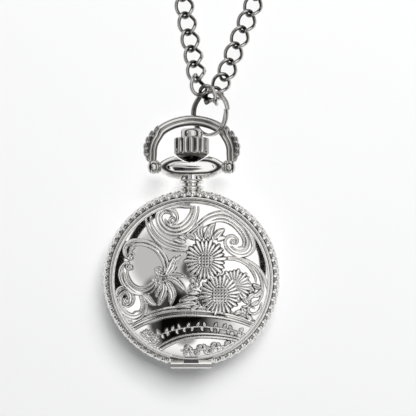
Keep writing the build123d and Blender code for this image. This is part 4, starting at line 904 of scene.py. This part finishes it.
# the height of the pattern, from 0 to 1, along the band in repeats and across it from -1 to 1
def rimPattern(along, across, repeat, width):
    height = np.zeros_like(along)
    for leafAlong, leafAcross, lean, long, wide in rimLeafRows:
        du = ((along - leafAlong + 0.5) % 1 - 0.5) * repeat
        dv = (across - leafAcross) * width / 2
        a = du * math.cos(lean) + dv * math.sin(lean)
        b = -du * math.sin(lean) + dv * math.cos(lean)
        narrow = np.sqrt(np.clip(1.05 - np.abs(a / long) * 0.8, 0.05, 1.1))  # towards the leaf's two ends
        q = (a / long) ** 2 + (b / (wide * narrow)) ** 2
        height = np.maximum(height, np.clip(1 - q**2, 0, 1) ** 0.5)
    place, half, share = rim["edgeLine"]
    return np.maximum(height, share * np.sqrt(np.clip(1 - ((np.abs(across) - place) / half) ** 2, 0, 1)))


def rimSkin(around=2016, across=34):
    middle, section, halfAngle = rim["middleRadius"], rim["sectionRadius"], math.radians(rim["halfAngle"])
    arc = 2 * section * halfAngle
    width = arc + middle + section * math.cos(halfAngle) - rim["innerRadius"]
    ways = np.linspace(0, fullTurn, around, endpoint=False)
    uu, tt = np.meshgrid(ways, np.linspace(0, width, across), indexing="ij")
    vv = 2 * tt / width - 1
    repeat = fullTurn * (middle + rim["repeatOut"]) / rim["leaves"]
    height = rimPattern(uu * rim["leaves"] / fullTurn, vv, repeat, width)
    x, y = np.cos(uu), np.sin(uu)
    keep = np.clip(ramp(np.abs(x * (middle + section)), *rim["hinge"]) + (y > 0), 0, 1)
    phi = halfAngle * np.minimum(2 * tt / arc - 1, 1)
    low = np.clip(np.abs(phi) / rim["fullFrom"], rim["lowest"], 1)
    lift = (rim["stand"] + rim["lift"] * low * height) * keep - rim["hingeDepth"] * (1 - keep)
    inward = np.maximum(tt - arc, 0)
    lean = np.where(tt > arc, math.pi / 2, phi)

    def at(depth):
        r = middle + section * np.cos(phi) - inward + depth * np.cos(lean)
        z = rim["height"] + section * np.sin(phi) + depth * np.sin(lean)
        return np.stack([r * x, r * y, z], -1)

    verts = np.concatenate([at(lift), at(np.full_like(lift, -rim["skin"]))[:, ::-1]], 1)
    # painted shade in the low places between the leaves, none at the hinge's plain place
    shade = rim["paintedShade"] * (1 - ramp(height, 0, rim["shadeBelow"])) * keep
    shade = shade * (np.abs(vv) < rim["shadeEdge"])
    faces = [f[::-1] for f in gridFaces(around, across * 2, wrapRows=True)]
    return verts.reshape(-1, 3), faces, np.concatenate([shade, np.zeros_like(height)], 1)


verts, faces, shade = rimSkin()
rimPiece = newPiece("rimLeaves", verts, faces, rimMetal)
tarnished(rimPiece, shade)
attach(rimPiece, "case")
print("rim leaves:", rim["leaves"])


# bow
bow = {
    "pivot": (17.46, 4.8), "droop": 20.2, "height": 8.25, "topRadius": 8.0, "topHalf": 30, "sideRadius": 5.2,
    "sideTurn": 84, "railOffset": 0.40, "railRadius": 0.50,
    "sideShift": 0.42, "sideScale": 0.74,  # along its sides the rail is slimmer and lies further in
    "crestScale": 1.01, "sideStart": (0.42, 0.56), "foot": 0.84,
    # the stem under the leaves: radius, its flattening, reach outwards, and where it starts and ends
    "stemRadius": 0.5, "stemFlat": 0.8, "stemOut": 0.42, "stemReach": (0.45, 0.94), "stemSteps": 30,
    # sides of the stem and the caps, and the strength of the painted shade on the stem and in the caps'
    # grooves
    "stemSides": 14, "capSides": 48, "paintedShade": 0.9,
    "leafLean": (0.85, 0.5),   # along the bow and outwards
    "capGroove": (6.6, 0.94),  # the caps get painted shade short of this place and below this radius
}
# a narrow ridge on each leaf: how far it lies inwards and back, and its size as shares of the leaf's
leafRidge = {"inwards": 0.15, "back": 0.1, "long": 0.8, "wide": 0.45, "thick": 1.2}
# leaves along each side: share from the crest to the foot, reach outwards, half length, half width and
# half thickness
sideLeaves = [
    (0.46, 0.52, 0.72, 0.60, 0.58), (0.565, 0.66, 0.78, 0.52, 0.54), (0.66, 0.72, 0.80, 0.50, 0.56),
    (0.75, 0.74, 0.78, 0.48, 0.54), (0.835, 0.64, 0.72, 0.44, 0.50), (0.91, 0.42, 0.56, 0.38, 0.46),
]
# feet: turned caps on the pivot pins, as place along the pin and radius
capProfile = [
    (5.09, 0.0), (5.09, 0.90), (5.14, 0.95), (5.32, 1.10), (5.42, 1.06), (5.50, 0.93), (5.60, 0.97),
    (5.85, 1.09), (6.10, 1.09), (6.32, 1.00), (6.40, 0.93), (6.48, 0.92), (6.62, 0.84), (6.78, 0.68),
    (6.90, 0.42), (6.94, 0.2), (6.95, 0.0),
]


# points and outward directions of the bow in its own plane, from the left foot to the right foot
def bowLine(steps=70):
    topMiddle = np.array([0, bow["height"] - bow["topRadius"]])
    a = math.radians(bow["topHalf"])
    shoulder = np.array([math.sin(a), math.cos(a)])
    sideMiddle = topMiddle + bow["topRadius"] * shoulder - bow["sideRadius"] * shoulder
    t = np.linspace(0, a, steps)
    s = np.linspace(a, a + math.radians(bow["sideTurn"]), steps * 2)[1:]
    topOut, sideOut = np.c_[np.sin(t), np.cos(t)], np.c_[np.sin(s), np.cos(s)]
    right = np.vstack([topMiddle + bow["topRadius"] * topOut, sideMiddle + bow["sideRadius"] * sideOut])
    out = np.vstack([topOut, sideOut])
    left, leftOut = right[::-1] * [-1, 1], out[::-1] * [-1, 1]
    return np.vstack([left[:-1], right]), np.vstack([leftOut[:-1], out])


# from the bow's own plane (across, along, up) to the watch
def bowPlaced(flat):
    a = math.radians(bow["droop"])
    y, z = flat[:, 1], flat[:, 2]
    along = bow["pivot"][0] + y * math.cos(a) + z * math.sin(a)
    return np.c_[flat[:, 0], along, bow["pivot"][1] - y * math.sin(a) + z * math.cos(a)]


# two round rails side by side, as one outline of (outwards, up)
def railOutline(sides=44):
    t = np.linspace(0, fullTurn, sides, endpoint=False)
    u, v = np.cos(t), np.sin(t)
    b = bow["railOffset"] * np.abs(u)  # the nearer rail's middle gives the longer reach
    reach = b + np.sqrt(bow["railRadius"] ** 2 - bow["railOffset"] ** 2 + b**2)
    return np.c_[reach * u, reach * v]


# a small fat leaf with a sunk midrib, in the bow's own plane
def leafLump(centre, along, outwards, long, wide, thick, steps=14, sides=16):
    t, w = np.linspace(-1, 1, steps), np.linspace(0, fullTurn, sides, endpoint=False)
    tt, ww = np.meshgrid(t, w, indexing="ij")
    swell = np.sqrt(np.clip(1 - tt**2, 0.0004, 1)) * (1 - 0.25 * tt)
    cosW, sinW = np.cos(ww), np.sin(ww)
    midrib = np.exp(-((cosW / 0.3) ** 2))
    rib = 1 - 0.35 * midrib * (np.abs(sinW) > 0)
    body = np.r_[centre, 0] + (tt * long)[..., None] * np.r_[along, 0]
    body = body + (swell * wide * cosW)[..., None] * np.r_[outwards, 0]
    verts = (body + (swell * thick * sinW * rib)[..., None] * [0, 0, 1.0]).reshape(-1, 3)
    # painted shade along the midrib and the leaf's edges
    edges = np.minimum(ramp(np.abs(cosW), 0.8, 1), 0.7)
    faces = gridFaces(steps, sides) + endFaces(len(verts), sides)
    return (bowPlaced(verts), faces), np.maximum(0.95 * midrib, edges).ravel()


# a turned piece on the x axis from (place along it, radius)
def lathe(profile, sides):
    t = np.arange(sides) * fullTurn / sides
    rings = [np.c_[np.full(sides, a), max(r, 1e-4) * np.cos(t), max(r, 1e-4) * np.sin(t)] for a, r in profile]
    return np.vstack(rings), gridFaces(len(profile), sides)


line, outward = bowLine()
outline = railOutline()
across = outline[:, 0]
# painted shade: in the groove between the rails, and on the bow's inner and outer sides
groove = 1 - ramp(np.abs(across), 0, 0.13)
inner, outer = np.minimum(ramp(-across, 0.62, 0.82), 0.9), np.minimum(ramp(across, 0.8, 1), 0.5)
railShade = np.maximum(np.maximum(groove, inner), outer)
count = len(line)
verts = []
for k, (p, o) in enumerate(zip(line, outward)):
    share = abs(2 * k / (count - 1) - 1)
    aside = ramp(share, *bow["sideStart"])
    aside = aside**2 * (3 - 2 * aside)
    shift = -bow["sideShift"] * aside * (1 - ramp(share, bow["foot"], 1) ** 1.5)
    reach = shift + across * (bow["crestScale"] + (bow["sideScale"] - bow["crestScale"]) * aside)
    verts.append(np.c_[p + reach[:, None] * o, outline[:, 1] * (1 - 0.1 * aside)])
verts = np.vstack(verts)
faces = gridFaces(count, len(outline)) + endFaces(len(verts), len(outline))
parts = [(bowPlaced(verts), faces)]
shades = [np.tile(railShade, count)]


# the point of the bow's line at a share of the way from the crest to one foot
def bowStep(sideWay, share):
    return int(count / 2 + sideWay * share * (count / 2 - 1))


for sideWay in (1, -1):
    steps = [bowStep(sideWay, share) for share in np.linspace(*bow["stemReach"], bow["stemSteps"])]
    swell = np.sin(np.linspace(0.12, math.pi - 0.12, bow["stemSteps"])) ** 0.6  # slim at both ends
    stem = np.array([np.r_[line[k] + outward[k] * bow["stemOut"] * w, 0] for k, w in zip(steps, swell)])
    section = roundSection(bow["stemRadius"], bow["stemSides"])[None]
    section = section * (swell[:, None, None] * [bow["stemFlat"], 1.0])
    verts, faces = tube(stem, section, (0, 0, 1.0))
    parts.append((bowPlaced(verts), faces))
    # the stem under the leaves is in painted shade
    shades.append(np.full(len(verts), bow["paintedShade"]))
    for share, stand, long, wide, thick in sideLeaves:
        k = bowStep(sideWay, share)
        p, o = line[k], outward[k]
        along = np.array([-o[1], o[0]]) * sideWay
        slant = unit(along * bow["leafLean"][0] + o * bow["leafLean"][1])
        aside = np.array([slant[1], -slant[0]])
        leaf = leafLump(p + o * stand, slant, aside, long, wide, thick)
        place = p + o * (stand - leafRidge["inwards"]) - along * leafRidge["back"]
        size = long * leafRidge["long"], wide * leafRidge["wide"], thick * leafRidge["thick"]
        for part, shade in (leaf, leafLump(place, slant, aside, *size)):
            parts.append(part)
            shades.append(shade)
# painted shade in the caps' grooves
grooveEnd, grooveRadius = bow["capGroove"]
inGroove = [place < grooveEnd and radius < grooveRadius for place, radius in capProfile]
dark = np.where(inGroove, bow["paintedShade"], 0.0)
for sideWay in (1, -1):
    verts, faces = lathe(capProfile, bow["capSides"])
    parts.append((bowPlaced(verts * [sideWay, 1, 1]), faces if sideWay < 0 else [f[::-1] for f in faces]))
    shades.append(np.repeat(dark, bow["capSides"]))
bowPiece = newPiece("leafBow", *joined(parts), chainPlate)
tarnished(bowPiece, np.concatenate(shades))
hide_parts("bow")
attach(bowPiece, "bow")
print("bow with its leaves is in place")


# crown
crown = {"stemHeight": 4.8, "flutes": 16, "fluteDepth": 0.3, "fluteSharp": 1.3, "shadeFrom": 0.375}
# up the stem's axis: place, radius, share of the flutes' depth, share of painted shade
crownRows = [
    (18.3, 0.01, 0, 0.8), (18.3, 0.8, 0, 0.8), (18.55, 1.35, 0, 0.9), (18.85, 1.85, 0, 0.9),
    (19.15, 2.28, 0, 0.9), (19.4, 2.58, 0, 0.8), (19.58, 2.72, 0.2, 0.4), (19.72, 2.77, 0.7, 0),
    (19.9, 2.77, 1, 0), (20.6, 2.77, 1, 0), (21.2, 2.77, 1, 0), (21.72, 2.77, 1, 0),
    (21.88, 2.74, 0.7, 0), (21.98, 2.66, 0.2, 0), (22.03, 2.5, 0, 0), (22.06, 1.98, 0, 0.5),
    (22.1, 1.80, 0, 0.7), (22.2, 1.73, 0, 0.2), (22.4, 1.73, 0, 0), (22.9, 1.73, 0, 0),
    (23.13, 1.685, 0, 0), (23.32, 1.555, 0, 0), (23.45, 1.37, 0, 0), (23.5, 1.13, 0, 0), (23.5, 0.01, 0, 0),
]


def crownSkin(around=256):
    turn = np.linspace(0, fullTurn, around, endpoint=False)
    valley = (0.5 - 0.5 * np.cos(crown["flutes"] * turn)) ** crown["fluteSharp"]
    rows, shades = [], []
    for y, r, flute, shadeShare in crownRows:
        reach = r - crown["fluteDepth"] * flute * valley
        z = crown["stemHeight"] + reach * np.sin(turn)
        rows.append(np.c_[reach * np.cos(turn), np.full(around, y), z])
        # painted shade in the flute valleys, and where the rows ask for it under the crown and at its step
        shades.append(np.maximum(shadeShare, flute * ramp(valley, crown["shadeFrom"], 1)))
    return np.vstack(rows), gridFaces(len(crownRows), around), np.concatenate(shades)


verts, faces, shade = crownSkin()
crownPiece = newPiece("flutedCrown", verts, faces, chainPlate)
tarnished(crownPiece, shade)
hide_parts("crown")
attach(crownPiece, "crown")
print("crown flutes:", crown["flutes"])


# two hidden springs: copies of the imported ones, which take their place
def bendingSpring(name, node, start, end):
    piece = bpy.data.objects.new(name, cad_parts[node].data.copy())
    bpy.context.scene.collection.objects.link(piece)
    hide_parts(node)
    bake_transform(piece)


catchBend = (10.6, 11.3)  # the catch spring bends between these places up the stem
springLow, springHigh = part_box("crown_spring")
bendingSpring("crownSpring", "crown_spring", springLow[1] / mm, springHigh[1] / mm)
bendingSpring("catchSpring", "catch_spring", *catchBend)


# dial marks
dial = {
    "top": 6.0, "numeralRadius": 7.9, "numeralSize": 2.3, "thickness": 0.02, "trackRadius": 9.35,
    "outwards": 0.1,
    "hourMark": (0.35, 0.09), "minuteMark": (0.2, 0.035),  # reach inwards from the track and half width
    "markHeights": (0.001, 0.03),
}


def numeral(text, angle):
    letters = bpy.data.curves.new("numeral" + text, "FONT")
    letters.body = text
    letters.size = dial["numeralSize"] * mm
    letters.align_x, letters.align_y = "CENTER", "CENTER"
    letters.extrude = dial["thickness"] * mm
    points, faces = readCurve(letters)
    x, y = dial["numeralRadius"] * math.sin(angle), dial["numeralRadius"] * math.cos(angle)
    return points / mm + [x, y, dial["top"] + dial["thickness"]], faces


def dash(angle, inwards, half):
    out = np.array([math.sin(angle), math.cos(angle)])
    across = np.array([out[1], -out[0]])
    near, far = dial["trackRadius"] - inwards, dial["trackRadius"] + dial["outwards"]
    corners = [out * near - across * half, out * near + across * half]
    corners += [out * far + across * half, out * far - across * half]
    low, high = (dial["top"] + z for z in dial["markHeights"])
    verts = [(*c, low) for c in corners] + [(*c, high) for c in corners]
    return verts, [[4, 5, 6, 7], [3, 2, 1, 0], [0, 1, 5, 4], [1, 2, 6, 5], [2, 3, 7, 6], [3, 0, 4, 7]]


marks = [numeral(str(hour), hour * math.pi / 6) for hour in range(1, 13)]
marks += [dash(k * math.pi / 30, *dial["minuteMark" if k % 5 else "hourMark"]) for k in range(60)]
marksPiece = newPiece("dialMarks", *joined(marks), made["dialInk"], smooth=False)
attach(marksPiece, "case")
print("dial marks are in place")

# the small pieces in front of the case throw no hard shadow on the floor
for piece in (bowPiece, crownPiece, ringPiece, ringBunch, *chainPieces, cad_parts["pendant"]):
    piece.visible_shadow = False


# surroundings: a pale floor that glows more the further it lies, a pale room and one window
paleRoom = (0.93, 0.935, 0.94, 1)
floor = {"half": 4000, "near": 0.10, "far": 0.30, "nearGlow": 0.12}  # near and far are in metres
room = {
    "dim": (0.15, 0.152, 0.155, 1),  # the room as it lights the watch
    # the room in reflections, from straight down (0) to straight up (1): place and brightness
    "heights": [(0.0, 0.8), (0.50, 0.9), (0.58, 0.62), (0.655, 0.05), (0.785, 0.03), (0.84, 0.85),
                (0.89, 1.15), (1.0, 1.15)],
    # soft dark places in reflections: tilt from straight up, turn from +X, width and brightness
    "darkPlaces": [(0, 0, 8, 0.14), (19, 165, 21, 0.46), (23, 222, 13.5, 0.04), (21, 262, 12.5, 0.05),
                   (35, 243, 10, 0.05), (36, 262, 8, 0.3)],
    "darkShare": 0.6,  # the part of a dark place's width that is fully dark
}
window = {"energy": 7.6, "size": 0.42, "place": Vector((0.17, 0.43, 0.655)), "aim": Vector((0, 0.01, 0))}
# curved dark boards, seen only in reflections: tilts from straight up and turns from +X
boards = {
    "boardUpperLeft": ((35.8, 40), (93, 168)), "boardLeft": ((39, 50), (158, 204)),
    "boardRight": ((37, 40.8), (-6, 34)),
}
boardLook = {"colour": (0.012, 0.012, 0.01212, 1), "roughness": 0.9, "distance": 300}

floorMaterial = finish("paleFloor", (0.88, 0.88, 0.88), (0.90, 0.90, 0.90), roughness=0.9, spread=0.04,
                       grain=40)
tree = floorMaterial.node_tree
ray = tree.nodes.new("ShaderNodeLightPath").outputs
seen = mathNode(tree, "MAXIMUM", ray["Is Camera Ray"], ray["Is Glossy Ray"])
seen = mathNode(tree, "MAXIMUM", seen, ray["Is Transmission Ray"])
spot = addNode(tree, "NewGeometry", {}, "Position")
away = addNode(tree, "VectorMath", {0: spot}, "Value", operation="LENGTH")
share = softStep(tree, away, floor["near"], floor["far"], floor["nearGlow"], 1)
glow = addNode(tree, "Emission", {"Color": paleRoom})
plain = tree.nodes["Principled BSDF"].outputs[0]
both = addNode(tree, "MixShader", {"Fac": mathNode(tree, "MULTIPLY", seen, share), 1: plain, 2: glow})
feed(tree, both, tree.nodes["Material Output"].inputs["Surface"])
half = floor["half"]
corners = [(-half, -half, 0), (half, -half, 0), (half, half, 0), (-half, half, 0)]
floorPiece = newPiece("paleFloor", corners, [[0, 1, 2, 3]], floorMaterial)

world = bpy.data.worlds.new("studioWorld")
bpy.context.scene.world = world
world.use_nodes = True
tree = world.node_tree
ray = tree.nodes.new("ShaderNodeLightPath").outputs
where = addNode(tree, "TexCoord", {}, "Generated")
upwards = addNode(tree, "SeparateXYZ", {0: where}, "Z")
heights = tree.nodes.new("ShaderNodeValToRGB")
elements = heights.color_ramp.elements
while len(elements) < len(room["heights"]):
    elements.new(0.5)
for element, (place, value) in zip(elements, room["heights"]):
    element.position = place
    element.color = (value, value, value, 1)
feed(tree, mathNode(tree, "MULTIPLY_ADD", upwards, 0.5, 0.5), heights.inputs["Fac"])
roomColour = heights.outputs["Color"]
for tilt, turn, width, value in room["darkPlaces"]:
    a, b = math.radians(tilt), math.radians(turn)
    middle = (math.sin(a) * math.cos(b), math.sin(a) * math.sin(b), math.cos(a))
    toward = addNode(tree, "VectorMath", {0: where, 1: middle}, "Value", operation="DOT_PRODUCT")
    outer, inner = math.cos(math.radians(width)), math.cos(math.radians(width * room["darkShare"]))
    soft = softStep(tree, toward, outer, inner, 1, value)
    roomColour = mixColours(tree, 1, roomColour, soft, blend_type="MULTIPLY")
reflected = mixColours(tree, ray["Is Glossy Ray"], room["dim"], roomColour)
seen = mathNode(tree, "MAXIMUM", ray["Is Camera Ray"], ray["Is Transmission Ray"])
feed(tree, mixColours(tree, seen, reflected, paleRoom), tree.nodes["Background"].inputs["Color"])

light = bpy.data.lights.new("windowLight", "AREA")
light.energy = window["energy"]
light.size = window["size"]
lightPiece = bpy.data.objects.new("windowLight", light)
lightPiece.location = window["place"]
lightPiece.rotation_euler = (window["place"] - window["aim"]).to_track_quat("Z", "Y").to_euler()
lightPiece.visible_glossy = False
bpy.context.scene.collection.objects.link(lightPiece)

blackCard = bpy.data.materials.new("blackCard")
blackCard.use_nodes = True
cardShader = blackCard.node_tree.nodes["Principled BSDF"].inputs
cardShader["Base Color"].default_value = boardLook["colour"]
cardShader["Roughness"].default_value = boardLook["roughness"]
cardShader["Specular IOR Level"].default_value = 0.0


def studioCard(name, tilts, turns, rows=6, columns=30):
    tilt, turn = np.meshgrid(
        np.radians(np.linspace(*tilts, rows)), np.radians(np.linspace(*turns, columns)), indexing="ij"
    )
    verts = np.stack([np.sin(tilt) * np.cos(turn), np.sin(tilt) * np.sin(turn), np.cos(tilt)], -1)
    verts = boardLook["distance"] * verts.reshape(-1, 3)
    card = newPiece(name, verts, gridFaces(rows, columns, wrapColumns=False), blackCard)
    card.visible_camera = False
    card.visible_diffuse = False
    card.visible_shadow = False
    card.visible_transmission = False


for name, (tilts, turns) in boards.items():
    studioCard(name, tilts, turns)
print("floor, room, window and boards are in place")

bpy.context.scene.view_settings.view_transform = "Standard"
print("pendant watch: scene ready")
